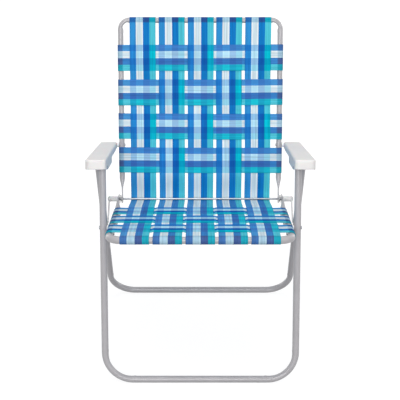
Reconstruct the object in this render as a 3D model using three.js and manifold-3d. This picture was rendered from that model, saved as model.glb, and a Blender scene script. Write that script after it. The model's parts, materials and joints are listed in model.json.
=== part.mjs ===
// Folding webbed lawn chair: bent steel tube frames, moulded arms and interlaced webbing.
// Millimetres, +Z up, the sitter faces -Y, origin on the floor under the middle of the chair.
// The fold is a parallelogram: seat pivot, arm pivot, arm rear pivot and hinge rod. The rear legs turn
// half as far as the seat, because the stay pin and the rear leg pivot make a rhombus with the legs.

import * as THREE from "three";
import { mergeVertices } from "three/addons/utils/BufferGeometryUtils.js";
import Module from "manifold-3d";

const wasm = await Module();
wasm.setup();

// Tubes
const LEG_DIA = 19;
const SEAT_DIA = 19;
const BACK_DIA = 16;
const TUBE_WALL = 1.2;
const TUBE_SIDES = 16;
const LEG_BEND_STEPS = 6;
const RAIL_BEND_STEPS = 4;
const TURNED_SIDES = 12;
const LEG_BEND = 95;
const SEAT_BEND = 40;
const BACK_BEND = 34;
const TAB_THICK = 3;
const SEAT_FLAT_TO = 45;
const SEAT_ROUND_FROM = 116;
const BACK_FLAT_TO = 31;
const BACK_ROUND_FROM = 54;
const LEG_TOP_PAST_PIVOT = 12;

// Side view, lengths along the pieces and angles in degrees
const LEAN = 16;
const SEAT_PIVOT_UP = 428;
const PIVOT_RISE = 164;
const PIVOT_REACH = 300;
const REACH_DROP = 9.5;
const ROD_LIFT = 8;
const SEAT_NOSE = 125;
const BACK_HEIGHT = 530;
const REAR_PIVOT_SET = 99;
const LEG_SPREAD = 38.9;

// Across the chair
const LEG_HALF = 263.5;
const BUSH_THICK = 4;
const TAB_JOG = 5;
const WASHER_LONG = 6.7;
const STAY_THICK = 3;
const STAY_CLEAR = 0.6;
const STAY_WIDTH = 18;
const GAP = 0.3;

// Pins and rivets
const RIVET_DIA = 6;
const RIVET_HEAD_DIA = 11;
const RIVET_HEAD_HIGH = 2.4;
const ROD_DIA = 6.4;
const ARM_PIN_DIA = 8;
const BUSH_DIA = 14;
const WASHER_HUB_DIA = 11;
const WASHER_DIA = 22;
const WASHER_THICK = 1.2;
const WASHER_DISH = 1.6;
const SPACER_DIA = 16.5;
const CAP_DIA = 14;
const CAP_THICK = 2.4;
const PIN_RUN = 5;
const PIN_COVER = 1.4;

// Arms
const ARM_TILT = 3.85;
const ARM_TOP = 27.5;
const ARM_NOSE = 45;
const ARM_TAIL = 12;
const ARM_FRONT_WIDE = 56;
const ARM_REAR_WIDE = 50;
const ARM_WALL = 3.6;
const ARM_CLEAR = 0.4;
const ARM_EDGE = 5;
const ARM_CORNER = 9;
const ARM_FACE_HIGH = 26;
const LOBE_DROP = 8.5;
const LOBE_PAST_PIVOT = 36;
const SKIRT_DEEP = 13;
const TAIL_DEEP = 17;
const TAIL_BLOCK = 44;

// Webbing
const STRAP_WIDE = 76.2;
const STRAP_THICK = 1.2;
const COLUMN_GAP = 8;
const COLUMN_PAST_BEND = 8.2;
const ROW_GAP = 15;
const BACK_ROWS_UP = 26;
const BACK_ROWS_BELOW_BEND = 37;
const SEAT_ROW_EDGE = 0.6;
const SEAT_ROW_SET = 2.4;
const ROD_RUN = 14;
const LONG_WRAP = 184;
const CROSS_WRAP = 250;
const WRAP_STEP = 25;

// Finishes
const FRAME_COLOUR = 0xb4b4b8;
const ARM_COLOUR = 0xe4e3e4;
const BUSH_COLOUR = 0xf0f0f0;
const ZINC_COLOUR = 0xc6c8ca;
const DARK_COLOUR = 0x2c2c2e;
const LONG_STRAP_COLOUR = 0x3f8fcb;
const CROSS_STRAP_COLOUR = 0x4a9cd0;

// Worked-out sizes
const rad = (degrees) => degrees * Math.PI / 180;
const legR = LEG_DIA / 2;
const seatR = SEAT_DIA / 2;
const backR = BACK_DIA / 2;
const rodR = ROD_DIA / 2;
const flatOf = (radius) => radius * Math.cos(Math.PI / TUBE_SIDES);

// Side-view vectors are (y, z) before the chair is centred on the origin.
const at = (y, z) => new THREE.Vector2(y, z);
const along = (from, direction, distance) => from.clone().addScaledVector(direction, distance);
const legUp = at(Math.sin(rad(LEAN)), Math.cos(rad(LEAN)));
const reachDir = at(Math.cos(rad(REACH_DROP)), -Math.sin(rad(REACH_DROP)));
const rise = new THREE.Vector2().copy(legUp).multiplyScalar(PIVOT_RISE);

const frontFoot = at(0, flatOf(legR));
const seatPivot = along(frontFoot, legUp, SEAT_PIVOT_UP);
const armPivot = seatPivot.clone().add(rise);
const hinge = along(seatPivot, reachDir, PIVOT_REACH);
const armRear = hinge.clone().add(rise);
const rearPivot = along(armPivot, reachDir, REAR_PIVOT_SET);

const seatDrop = rad(REACH_DROP) + Math.asin(ROD_LIFT / PIVOT_REACH);
const seatBackward = at(Math.cos(seatDrop), -Math.sin(seatDrop));
const seatRail = along(seatPivot, seatBackward, -SEAT_NOSE);
const seatToRod = SEAT_NOSE + Math.sqrt(PIVOT_REACH ** 2 - ROD_LIFT ** 2);

const rearAngle = rad(LEAN + 90 - LEG_SPREAD);
const rearDown = at(Math.cos(rearAngle), -Math.sin(rearAngle));
const rearLength = (rearPivot.y - flatOf(legR)) / -rearDown.y;
const rearFoot = along(rearPivot, rearDown, rearLength);
const pinAtRest = 2 * PIVOT_RISE * Math.cos(rad(LEG_SPREAD));
const pinFarthest = 2 * PIVOT_RISE;
const stayPin = along(rearPivot, rearDown, pinAtRest);

const wrap = GAP + STRAP_THICK;
const frontEdge = seatRail.x - seatR - wrap;
const rearEdge = hinge.x + legUp.x * BACK_HEIGHT + backR + wrap;
const middle = (frontEdge + rearEdge) / 2;

const seatHalf = LEG_HALF - legR - BUSH_THICK - 2 * GAP - seatR;
const tabHalf = seatHalf + TAB_JOG;
const backHalf = tabHalf - TAB_THICK - WASHER_LONG - 2 * GAP;
const stayIn = LEG_HALF + legR + STAY_CLEAR;
const stayOut = stayIn + STAY_THICK;
const rearHalf = stayOut + STAY_CLEAR + legR;
const armIn = LEG_HALF - legR - ARM_CLEAR - ARM_WALL;

// Scene positions from side-view points
const world = (x, point) => new THREE.Vector3(x, point.x - middle, point.y);
const dir3 = (direction) => new THREE.Vector3(0, direction.x, direction.y);
const X = new THREE.Vector3(1, 0, 0);

// Solids in and out of the boolean library
function solid(geometry, matrix = new THREE.Matrix4()) {
  const bare = geometry.clone().applyMatrix4(matrix);
  bare.deleteAttribute("normal");
  bare.deleteAttribute("uv");
  const merged = mergeVertices(bare, 1e-4);
  return new wasm.Manifold(new wasm.Mesh({
    numProp: 3,
    vertProperties: new Float32Array(merged.attributes.position.array),
    triVerts: new Uint32Array(merged.index.array),
  }));
}

function geometryOf(manifold) {
  const mesh = manifold.getMesh();
  const geometry = new THREE.BufferGeometry();
  geometry.setAttribute("position", new THREE.BufferAttribute(new Float32Array(mesh.vertProperties), 3));
  geometry.setIndex(new THREE.BufferAttribute(new Uint32Array(mesh.triVerts), 1));
  geometry.computeVertexNormals();
  return geometry;
}

// A closed skin through rings of points, each ring counted anticlockwise about the way forward.
function loft(rings) {
  const sides = rings[0].length;
  const positions = rings.flatMap((ring) => ring.flatMap((point) => point.toArray()));
  const index = [];
  for (let i = 0; i + 1 < rings.length; i++) {
    for (let k = 0; k < sides; k++) {
      const a = i * sides + k;
      const b = i * sides + (k + 1) % sides;
      index.push(a, b, a + sides, b, b + sides, a + sides);
    }
  }
  const last = (rings.length - 1) * sides;
  for (let k = 1; k + 1 < sides; k++) {
    index.push(0, k + 1, k);
    index.push(last, last + k, last + k + 1);
  }
  const geometry = new THREE.BufferGeometry();
  geometry.setAttribute("position", new THREE.Float32BufferAttribute(positions, 3));
  geometry.setIndex(index);
  geometry.computeVertexNormals();
  return geometry;
}

// Stations round a U: down the left leg, round both bends and up the right leg.
// x is across, p the distance along a leg from the rail's axis, and t the way forward.
function uStations(half, bend, steps, marks) {
  const left = marks.map((mark) => ({ ...mark, x: -half - (mark.jog ?? 0), tx: 0, tp: -1 }));
  for (let i = 0; i <= steps; i++) {
    const a = Math.PI / 2 * i / steps;
    left.push({
      x: -half + bend * (1 - Math.cos(a)),
      p: bend * (1 - Math.sin(a)),
      tx: Math.sin(a),
      tp: -Math.cos(a),
    });
  }
  const right = left.map((s) => ({ ...s, x: -s.x, tp: -s.tp })).reverse();
  return [...left, ...right];
}

// A tube through U stations. Pressed ends are thin across, wide in the plane of the hinge.
function uTube(origin, legDirection, radius, stations, turn = 0) {
  const leg = dir3(legDirection);
  const face = new THREE.Vector3().crossVectors(X, leg);
  const start = world(0, origin);
  const rings = stations.map((s) => {
    const forward = X.clone().multiplyScalar(s.tx).addScaledVector(leg, s.tp);
    const side = new THREE.Vector3().crossVectors(face, forward);
    const centre = start.clone().addScaledVector(X, s.x).addScaledVector(leg, s.p);
    centre.addScaledVector(face, s.lift ?? 0);
    const thin = s.thin ?? radius;
    const wide = s.wide ?? radius;
    const power = 2 / (s.square ?? 2);
    const ring = [];
    for (let k = 0; k < TUBE_SIDES; k++) {
      const angle = (k + 0.5) * 2 * Math.PI / TUBE_SIDES + turn;
      const c = Math.cos(angle);
      const n = Math.sin(angle);
      const across = thin * Math.sign(c) * Math.abs(c) ** power;
      const out = wide * Math.sign(n) * Math.abs(n) ** power;
      ring.push(centre.clone().addScaledVector(side, across).addScaledVector(face, out));
    }
    return ring;
  });
  return loft(rings);
}

// Marks along a leg whose end is pressed flat and rounded about a hole at p = hole. It is flat up to
// flatTo before the hole and round again from roundFrom.
function pressedEnd(radius, hole, flatTo, roundFrom, lift, jog) {
  const wide = Math.PI * radius / 2;
  const flat = { thin: TAB_THICK / 2, wide, square: 6, lift, jog };
  const marks = [];
  for (const share of [0.98, 0.8, 0.45, 0]) {
    marks.push({ ...flat, p: hole + wide * share, wide: wide * Math.sqrt(1 - share * share) });
  }
  for (const share of [0, 0.35, 0.7, 1]) {
    const smooth = share * share * (3 - 2 * share);
    marks.push({
      p: hole - THREE.MathUtils.lerp(flatTo, roundFrom, share),
      thin: THREE.MathUtils.lerp(TAB_THICK / 2, radius, smooth),
      wide: THREE.MathUtils.lerp(wide, radius, smooth),
      square: THREE.MathUtils.lerp(6, 2, Math.sqrt(share)),
      lift: lift * (1 - smooth),
      jog: jog * (1 - smooth),
    });
  }
  return marks;
}

// A drill along X through a side-view point, from x0 to x1
function drill(point, diameter, x0, x1, sides = 16) {
  const bit = new THREE.CylinderGeometry(diameter / 2, diameter / 2, x1 - x0, sides);
  bit.rotateZ(Math.PI / 2);
  bit.translate((x0 + x1) / 2, 0, 0);
  const place = world(0, point);
  return solid(bit, new THREE.Matrix4().makeTranslation(place.x, place.y, place.z));
}

const bothSides = (point, diameter, x0, x1) =>
  drill(point, diameter, x0, x1).add(drill(point, diameter, -x1, -x0));

const chair = new THREE.Group();
chair.name = "folding_webbed_lawn_chair";

function piece(name, geometry, colour, roughness, metalness, parent = chair) {
  const material = new THREE.MeshStandardMaterial({ color: colour, roughness, metalness });
  const mesh = new THREE.Mesh(geometry, material);
  mesh.name = name;
  parent.add(mesh);
  return mesh;
}

const frame = (name, manifold) => piece(name, geometryOf(manifold), FRAME_COLOUR, 0.42, 0.25);

// Front legs: one tube bent to a U, its rail flat on the floor
const rivetHole = RIVET_DIA + 2 * GAP;
const pinHole = ARM_PIN_DIA + 2 * GAP;
const frontTop = SEAT_PIVOT_UP + PIVOT_RISE + LEG_TOP_PAST_PIVOT;
const openTube = (origin, direction, top, half, turn) => {
  const path = (end) => uStations(half, LEG_BEND, LEG_BEND_STEPS, [{ p: end }]);
  const skin = solid(uTube(origin, direction, legR, path(top), turn));
  return skin.subtract(solid(uTube(origin, direction, legR - TUBE_WALL, path(top + 1), turn)));
};
const legSpan = [LEG_HALF - LEG_DIA, LEG_HALF + LEG_DIA];
frame("front_leg_frame", openTube(frontFoot, legUp, frontTop, LEG_HALF, rad(LEAN))
  .subtract(bothSides(seatPivot, rivetHole, ...legSpan))
  .subtract(bothSides(armPivot, pinHole, ...legSpan)));

// Rear legs: a wider U with a slot on the inside of each leg, where the stay pin runs
const rearUp = rearDown.clone().negate();
const rearTurn = -(Math.PI / 2 - rearAngle);
const rearTop = rearLength + LEG_TOP_PAST_PIVOT;
const slotWide = RIVET_DIA + 2 * GAP + 0.4;
function slotCutter(side) {
  const long = pinFarthest - pinAtRest;
  const outline = new THREE.Shape();
  outline.absarc(0, 0, slotWide / 2, Math.PI / 2, 3 * Math.PI / 2);
  outline.absarc(long, 0, slotWide / 2, -Math.PI / 2, Math.PI / 2);
  const block = new THREE.ExtrudeGeometry(outline, { depth: legR, bevelEnabled: false, curveSegments: 6 });
  const down = dir3(rearDown);
  const basis = new THREE.Matrix4().makeBasis(down, new THREE.Vector3().crossVectors(X, down), X);
  const inner = side > 0 ? rearHalf - legR - 1 : -rearHalf + 1;
  return solid(block, basis.setPosition(world(inner, stayPin)));
}
const rearSpan = [rearHalf - LEG_DIA, rearHalf + LEG_DIA];
frame("rear_leg_frame", openTube(rearFoot, rearUp, rearTop, rearHalf, rearTurn)
  .subtract(bothSides(rearPivot, pinHole, ...rearSpan))
  .subtract(slotCutter(1))
  .subtract(slotCutter(-1)));

// Seat: a U whose rear ends are pressed flat and lifted to the hinge rod
const rodHole = ROD_DIA + 2 * GAP;
const seatMarks = pressedEnd(seatR, seatToRod, SEAT_FLAT_TO, SEAT_ROUND_FROM, ROD_LIFT, TAB_JOG);
const seatBoreEnd = seatMarks[seatMarks.length - 1].p;
const seatPath = (marks) => uStations(seatHalf, SEAT_BEND, RAIL_BEND_STEPS, marks);
const seatSkin = solid(uTube(seatRail, seatBackward, seatR, seatPath(seatMarks)));
const seatBore = seatPath([{ p: seatBoreEnd }]);
frame("seat_frame", seatSkin
  .subtract(solid(uTube(seatRail, seatBackward, seatR - TUBE_WALL, seatBore)))
  .subtract(bothSides(seatPivot, rivetHole, seatHalf - SEAT_DIA, seatHalf + SEAT_DIA))
  .subtract(bothSides(hinge, rodHole, tabHalf - SEAT_DIA, tabHalf + SEAT_DIA)));

// Back: an upturned U, pressed flat at its lower ends, inside the seat ends
const backRail = along(hinge, legUp, BACK_HEIGHT);
const backDown = legUp.clone().negate();
const backMarks = pressedEnd(backR, BACK_HEIGHT, BACK_FLAT_TO, BACK_ROUND_FROM, 0, 0);
const backBoreEnd = backMarks[backMarks.length - 1].p;
const backPath = (marks) => uStations(backHalf, BACK_BEND, RAIL_BEND_STEPS, marks);
const backSkin = solid(uTube(backRail, backDown, backR, backPath(backMarks)));
const backBore = backPath([{ p: backBoreEnd }]);
frame("back_frame", backSkin
  .subtract(solid(uTube(backRail, backDown, backR - TUBE_WALL, backBore)))
  .subtract(bothSides(armRear, rivetHole, backHalf - BACK_DIA, backHalf + BACK_DIA))
  .subtract(bothSides(hinge, rodHole, backHalf - BACK_DIA, backHalf + BACK_DIA)));

// Arms: moulded channels, open below, with a deep lobe round the two leg pivots
const armSlope = rad(REACH_DROP + ARM_TILT);
const armBack = at(Math.cos(armSlope), -Math.sin(armSlope));
const armRise = at(Math.sin(armSlope), Math.cos(armSlope));
const inArm = (distance) => at(distance * Math.cos(rad(ARM_TILT)), distance * Math.sin(rad(ARM_TILT)));
const tailPivot = inArm(PIVOT_REACH);
const legPivot = inArm(REAR_PIVOT_SET);
const armEnd = tailPivot.x + ARM_TAIL;
const lobeEnd = legPivot.x + LOBE_PAST_PIVOT;
const wideAt = (y) => THREE.MathUtils.mapLinear(y, -ARM_NOSE, armEnd, ARM_FRONT_WIDE, ARM_REAR_WIDE);
const blindEnd = (pivot) => wideAt(pivot.x) - PIN_COVER;

function armSide() {
  const s = new THREE.Shape();
  const bottom = ARM_TOP - ARM_FACE_HIGH;
  s.moveTo(-ARM_NOSE - 1, ARM_TOP + 1);
  s.lineTo(-ARM_NOSE - 1, bottom);
  s.lineTo(-ARM_NOSE + ARM_WALL, bottom);
  s.quadraticCurveTo(0, -LOBE_DROP, legPivot.x / 3, -LOBE_DROP);
  s.lineTo(lobeEnd - LOBE_DROP, -LOBE_DROP);
  s.quadraticCurveTo(lobeEnd, -LOBE_DROP, lobeEnd, 0);
  s.quadraticCurveTo(lobeEnd, ARM_TOP - SKIRT_DEEP, lobeEnd + SKIRT_DEEP, ARM_TOP - SKIRT_DEEP);
  s.lineTo(armEnd - TAIL_BLOCK, ARM_TOP - SKIRT_DEEP);
  s.quadraticCurveTo(armEnd - TAIL_BLOCK / 2, ARM_TOP - TAIL_DEEP, tailPivot.x, ARM_TOP - TAIL_DEEP);
  s.quadraticCurveTo(armEnd, ARM_TOP - TAIL_DEEP, armEnd + 1, ARM_TOP - TAIL_DEEP / 2);
  s.lineTo(armEnd + 1, ARM_TOP + 1);
  s.closePath();
  return s;
}

// Plan of the arm: x across from the inner edge, y along; inset pulls every edge in
function armPlan(inset, from, to) {
  const corner = ARM_CORNER - inset;
  const s = new THREE.Shape();
  s.moveTo(inset + corner, from);
  s.lineTo(wideAt(from) - inset - corner, from);
  s.quadraticCurveTo(wideAt(from) - inset, from, wideAt(from) - inset, from + corner);
  s.lineTo(wideAt(to) - inset, to - corner);
  s.quadraticCurveTo(wideAt(to) - inset, to, wideAt(to) - inset - corner, to);
  s.lineTo(inset + corner, to);
  s.quadraticCurveTo(inset, to, inset, to - corner);
  s.lineTo(inset, from + corner);
  s.quadraticCurveTo(inset, from, inset + corner, from);
  return s;
}

function armGeometry() {
  const deep = ARM_TOP + LOBE_DROP + 2 * ARM_EDGE;
  const slab = new THREE.ExtrudeGeometry(armPlan(0, -ARM_NOSE, armEnd), {
    depth: deep - 2 * ARM_EDGE,
    bevelEnabled: true,
    bevelThickness: ARM_EDGE,
    bevelSize: ARM_EDGE,
    bevelOffset: -ARM_EDGE,
    bevelSegments: 3,
    curveSegments: 3,
  });
  slab.translate(0, 0, ARM_TOP - deep + ARM_EDGE);
  const side = new THREE.ExtrudeGeometry(armSide(), {
    depth: ARM_FRONT_WIDE + 2,
    bevelEnabled: false,
    curveSegments: 6,
  });
  const sideways = new THREE.Matrix4().makeBasis(
    new THREE.Vector3(0, 1, 0), new THREE.Vector3(0, 0, 1), new THREE.Vector3(1, 0, 0));
  const hollow = new THREE.ExtrudeGeometry(armPlan(ARM_WALL, -ARM_NOSE + ARM_WALL, armEnd - TAIL_BLOCK), {
    depth: ARM_TOP + LOBE_DROP + 1,
    bevelEnabled: false,
    curveSegments: 3,
  });
  hollow.translate(0, 0, -LOBE_DROP - 1 - ARM_WALL);
  const bore = (point, diameter, x0, x1) => {
    const bit = new THREE.CylinderGeometry(diameter / 2, diameter / 2, x1 - x0, 16);
    bit.rotateZ(Math.PI / 2);
    bit.translate((x0 + x1) / 2, point.x, point.y);
    return solid(bit);
  };
  return geometryOf(solid(slab)
    .intersect(solid(side, sideways.setPosition(-1, 0, 0)))
    .subtract(solid(hollow))
    .subtract(bore(inArm(0), pinHole, -1, blindEnd(inArm(0))))
    .subtract(bore(legPivot, pinHole, -1, blindEnd(legPivot)))
    .subtract(bore(tailPivot, rivetHole, -1, ARM_REAR_WIDE / 2 + GAP)));
}

const armShape = armGeometry();
function arm(name, side) {
  const holder = new THREE.Group();
  holder.position.copy(world(side * armIn, armPivot));
  holder.rotation.x = -armSlope;
  holder.scale.x = side;
  chair.add(holder);
  piece(name, armShape, ARM_COLOUR, 0.38, 0, holder);
}
arm("arm_left", -1);
arm("arm_right", 1);

// Turned pieces, their axis along X, from x0 outward on the given side
function turned(name, profile, point, x0, side, colour, roughness, metalness) {
  const geometry = new THREE.LatheGeometry(profile.map(([r, h]) => new THREE.Vector2(r, h)), TURNED_SIDES);
  const mesh = piece(name, geometry, colour, roughness, metalness);
  mesh.position.copy(world(side * x0, point));
  mesh.rotation.z = -side * Math.PI / 2;
  return mesh;
}

const rivetProfile = (grip, inHead, outHead) => {
  const r = RIVET_DIA / 2;
  const h = RIVET_HEAD_DIA / 2;
  const start = inHead
    ? [[0, -inHead], [h * 0.6, -inHead], [h, -inHead * 0.35], [h, 0], [r, 0]]
    : [[0, 0], [r, 0]];
  const end = outHead
    ? [[r, grip], [h, grip], [h, grip + outHead * 0.35], [h * 0.6, grip + outHead], [0, grip + outHead]]
    : [[r, grip], [0, grip]];
  return [...start, ...end];
};
const ringProfile = (hole, dia, long) =>
  [[hole / 2, 0], [dia / 2, 0], [dia / 2, long], [hole / 2, long], [hole / 2, 0]];
const washerProfile = (hole, long) => {
  const hub = WASHER_HUB_DIA / 2;
  const rim = WASHER_DIA / 2;
  const low = (long - WASHER_THICK - WASHER_DISH) / 2;
  const high = low + WASHER_THICK;
  return [[hole / 2, 0], [hub, 0], [hub, low], [rim, low + WASHER_DISH], [rim, high + WASHER_DISH],
    [hub, high], [hub, long], [hole / 2, long], [hole / 2, 0]];
};
const pinProfile = (dia, long) => {
  const r = dia / 2;
  const soft = r * 0.12;
  return [[0, 0], [r - soft, 0], [r, soft], [r, long - soft], [r - soft, long], [0, long]];
};

for (const [tag, side] of [["left", -1], ["right", 1]]) {
  // Seat on the front leg: a rivet through both tubes and a bush between them
  const seatIn = seatHalf - seatR - GAP;
  const legOut = LEG_HALF + legR + GAP;
  turned(`seat_rivet_${tag}`, rivetProfile(legOut - seatIn, RIVET_HEAD_HIGH, RIVET_HEAD_HIGH),
    seatPivot, seatIn, side, ZINC_COLOUR, 0.35, 0.8);
  turned(`seat_bush_${tag}`, ringProfile(rivetHole, BUSH_DIA, BUSH_THICK),
    seatPivot, seatHalf + seatR + GAP, side, BUSH_COLOUR, 0.45, 0);
  // Arm on the front leg and on the rear leg: plain pins in the arm's walls
  turned(`arm_front_pin_${tag}`, pinProfile(ARM_PIN_DIA, blindEnd(inArm(0)) - 2 * GAP),
    armPivot, armIn + GAP, side, ZINC_COLOUR, 0.35, 0.8);
  turned(`rear_leg_pin_${tag}`, pinProfile(ARM_PIN_DIA, blindEnd(legPivot) - 2 * GAP),
    rearPivot, armIn + GAP, side, ZINC_COLOUR, 0.35, 0.8);
  // Arm on the back tube: a rivet from the inside, with a spacer outside the tube
  const backIn = backHalf - backR - GAP;
  turned(`back_rivet_${tag}`, rivetProfile(armIn + ARM_REAR_WIDE / 2 - backIn, RIVET_HEAD_HIGH, 0),
    armRear, backIn, side, ZINC_COLOUR, 0.35, 0.8);
  const backOut = backHalf + backR + GAP;
  turned(`back_spacer_${tag}`, ringProfile(rivetHole, BUSH_DIA, armIn - GAP - backOut),
    armRear, backOut, side, BUSH_COLOUR, 0.45, 0);
  // Along the hinge rod: dished washer, seat end, spacer, stay, cap
  turned(`hinge_washer_${tag}`, washerProfile(rodHole, WASHER_LONG),
    hinge, backHalf + TAB_THICK / 2 + GAP, side, DARK_COLOUR, 0.5, 0.3);
  const spacerIn = tabHalf + TAB_THICK / 2 + GAP;
  turned(`rod_spacer_${tag}`, ringProfile(rodHole, SPACER_DIA, stayIn - GAP - spacerIn),
    hinge, spacerIn, side, BUSH_COLOUR, 0.45, 0);
  turned(`rod_cap_${tag}`, ringProfile(rodHole, CAP_DIA, CAP_THICK),
    hinge, stayOut + GAP, side, ZINC_COLOUR, 0.35, 0.8);
  // The stay hangs from the rod and carries the pin that runs in the rear leg's slot
  const reach = stayPin.clone().sub(hinge);
  const bar = new THREE.Shape();
  bar.absarc(0, 0, STAY_WIDTH / 2, Math.PI / 2, 3 * Math.PI / 2);
  bar.absarc(reach.length(), 0, STAY_WIDTH / 2, -Math.PI / 2, Math.PI / 2);
  for (const [where, dia] of [[0, rodHole], [reach.length(), rivetHole]]) {
    const hole = new THREE.Path();
    hole.absarc(where, 0, dia / 2, 0, 2 * Math.PI);
    bar.holes.push(hole);
  }
  const plate = new THREE.ExtrudeGeometry(bar, { depth: STAY_THICK, bevelEnabled: false, curveSegments: 6 });
  const down = dir3(reach.normalize());
  const basis = new THREE.Matrix4().makeBasis(down, new THREE.Vector3().crossVectors(X, down), X);
  const stay = piece(`stay_${tag}`, plate, BUSH_COLOUR, 0.45, 0);
  stay.applyMatrix4(basis.setPosition(world(side > 0 ? stayIn : -stayOut, hinge)));
  turned(`stay_pin_${tag}`, pinProfile(RIVET_DIA, STAY_THICK + STAY_CLEAR + TUBE_WALL + PIN_RUN),
    stayPin, stayIn, side, ZINC_COLOUR, 0.35, 0.8);
}

// Hinge rod, from cap to cap
const rodHalf = stayOut + GAP + CAP_THICK;
turned("hinge_rod", pinProfile(ROD_DIA, 2 * rodHalf), hinge, -rodHalf, 1, ZINC_COLOUR, 0.3, 0.85);

// Webbing: each strap is its side view, a line of even thickness, drawn out to the strap's width
function strapShape(line) {
  const half = STRAP_THICK / 2;
  const offset = (sign) => line.map((point, i) => {
    const before = line[Math.max(i - 1, 0)];
    const after = line[Math.min(i + 1, line.length - 1)];
    const a = point.clone().sub(before).normalize();
    const b = after.clone().sub(point).normalize();
    const way = i === 0 ? b : i === line.length - 1 ? a : a.clone().add(b).normalize();
    const spread = i === 0 || i === line.length - 1 ? 1 : 1 / Math.max(way.dot(a), 0.5);
    return at(point.x - way.y * sign * half * spread, point.y + way.x * sign * half * spread);
  });
  return new THREE.Shape([...offset(-1), ...offset(1).reverse()]);
}

function strap(name, line, origin, way, out, colour) {
  const geometry = new THREE.ExtrudeGeometry(strapShape(line), {
    depth: STRAP_WIDE,
    bevelEnabled: false,
  });
  const deep = new THREE.Vector3().crossVectors(way, out);
  const mesh = piece(name, geometry, colour, 0.55, 0);
  const corner = origin.clone().addScaledVector(deep, -STRAP_WIDE / 2);
  mesh.applyMatrix4(new THREE.Matrix4().makeBasis(way, out, deep).setPosition(corner));
}

// Points on an arc about a tube's centre, angles in degrees
function arc(cx, cy, radius, from, to, steps = Math.ceil(Math.abs(to - from) / WRAP_STEP)) {
  const points = [];
  for (let i = 0; i <= steps; i++) {
    const a = rad(from + (to - from) * i / steps);
    points.push(at(cx + radius * Math.cos(a), cy + radius * Math.sin(a)));
  }
  return points;
}

const lineUp = (tubeR) => tubeR + GAP + STRAP_THICK / 2;
const weave = (STRAP_THICK + GAP) / 2;
const rodLine = lineUp(rodR);
const crossing = STRAP_WIDE / 2 + 2;

// Straps side by side over a stretch, spread evenly, as many as fit with at least the given gap
function spread(from, to, gap) {
  const count = Math.floor((to - from + gap) / (STRAP_WIDE + gap));
  const first = from + STRAP_WIDE / 2;
  const last = to - STRAP_WIDE / 2;
  const share = (i) => (count > 1 ? i / (count - 1) : 0.5);
  return Array.from({ length: count }, (_, i) => THREE.MathUtils.lerp(first, last, share(i)));
}

// Long straps are counted from the left. The outer two reach a little way into the bends.
const columnReach = Math.min(seatHalf - SEAT_BEND, backHalf - BACK_BEND) + COLUMN_PAST_BEND;
const columns = spread(-columnReach, columnReach, COLUMN_GAP);

// Rows on the back are counted from the rod up. On the seat they are counted from the front rail back,
// and the seat bush lies between the rows ahead of it and those behind.
const backRowsEnd = BACK_HEIGHT - BACK_BEND - BACK_ROWS_BELOW_BEND;
const backRows = spread(BACK_ROUND_FROM + BACK_ROWS_UP, backRowsEnd, ROW_GAP);
const bushFront = SEAT_NOSE - BUSH_DIA / 2;
const bushRear = SEAT_NOSE + BUSH_DIA / 2;
const seatRows = [
  ...spread(SEAT_BEND + SEAT_ROW_EDGE, bushFront - SEAT_ROW_EDGE, ROW_GAP),
  ...spread(bushRear + SEAT_ROW_SET, seatToRod - SEAT_ROUND_FROM - SEAT_ROW_SET, ROW_GAP),
];
const longOver = (column, row) => (column + row) % 2 === 0;

// A long strap over and under the rows, at the given height, in the order of the rows
const wovenRows = (rows, column, height) => rows.flatMap((row, i) => {
  const level = height + (longOver(column, i) ? weave : -weave);
  return [at(row - crossing, level), at(row + crossing, level)];
});

// The outer straps go over the back's top row and the seat's front row, and over every second row on.
const topParity = (backRows.length - 1) % 2;
const backOut = dir3(at(-legUp.y, legUp.x));
const seatOut = dir3(at(-seatBackward.y, seatBackward.x));
const backHigh = lineUp(backR);
const seatHigh = lineUp(seatR);
const turnAtRod = Math.PI / 2 - rad(LEAN) + seatDrop;
const endTurn = THREE.MathUtils.radToDeg(turnAtRod / 2 - GAP / rodR);

columns.forEach((x, i) => {
  // From the rod up the back and half round the top rail
  const backLine = [
    ...arc(0, 0, rodLine, 270 - endTurn, 270, 3),
    at(ROD_RUN, -rodLine),
    ...wovenRows(backRows, i + topParity, backHigh),
    ...arc(BACK_HEIGHT, 0, backHigh, 90, 90 - LONG_WRAP),
  ];
  strap(`back_strap_${i + 1}`, backLine, world(x, hinge), dir3(legUp), backOut, LONG_STRAP_COLOUR);
  // Half round the rail at the front, over the seat and under the rod
  const rodAt = at(seatToRod, ROD_LIFT);
  const seatLine = [
    ...arc(0, 0, seatHigh, 90 + LONG_WRAP, 90),
    ...wovenRows(seatRows, i, seatHigh),
    at(seatToRod - ROD_RUN, ROD_LIFT - rodLine),
    ...arc(rodAt.x, rodAt.y, rodLine, 270, 270 + endTurn, 3),
  ];
  strap(`seat_strap_${i + 1}`, seatLine, world(x, seatRail), dir3(seatBackward), seatOut, LONG_STRAP_COLOUR);
});

// A cross strap from end to end: round the left rail, over and under the long straps, round the right
function crossLine(half, high, row) {
  const wovenColumns = columns.flatMap((x, i) => {
    const level = high + (longOver(i, row) ? -weave : weave);
    return [at(x - crossing, level), at(x + crossing, level)];
  });
  const right = arc(half, 0, high, 90, 90 - CROSS_WRAP);
  const left = right.map((point) => at(-point.x, point.y)).reverse();
  return [...left, ...wovenColumns, ...right];
}

backRows.forEach((row, i) => {
  const line = crossLine(backHalf, backHigh, i + topParity);
  const origin = world(0, along(hinge, legUp, row));
  strap(`back_cross_strap_${i + 1}`, line, origin, X, backOut, CROSS_STRAP_COLOUR);
});
seatRows.forEach((row, i) => {
  const line = crossLine(seatHalf, seatHigh, i);
  const origin = world(0, along(seatRail, seatBackward, row));
  strap(`seat_cross_strap_${i + 1}`, line, origin, X, seatOut, CROSS_STRAP_COLOUR);
});

export default chair;
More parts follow.
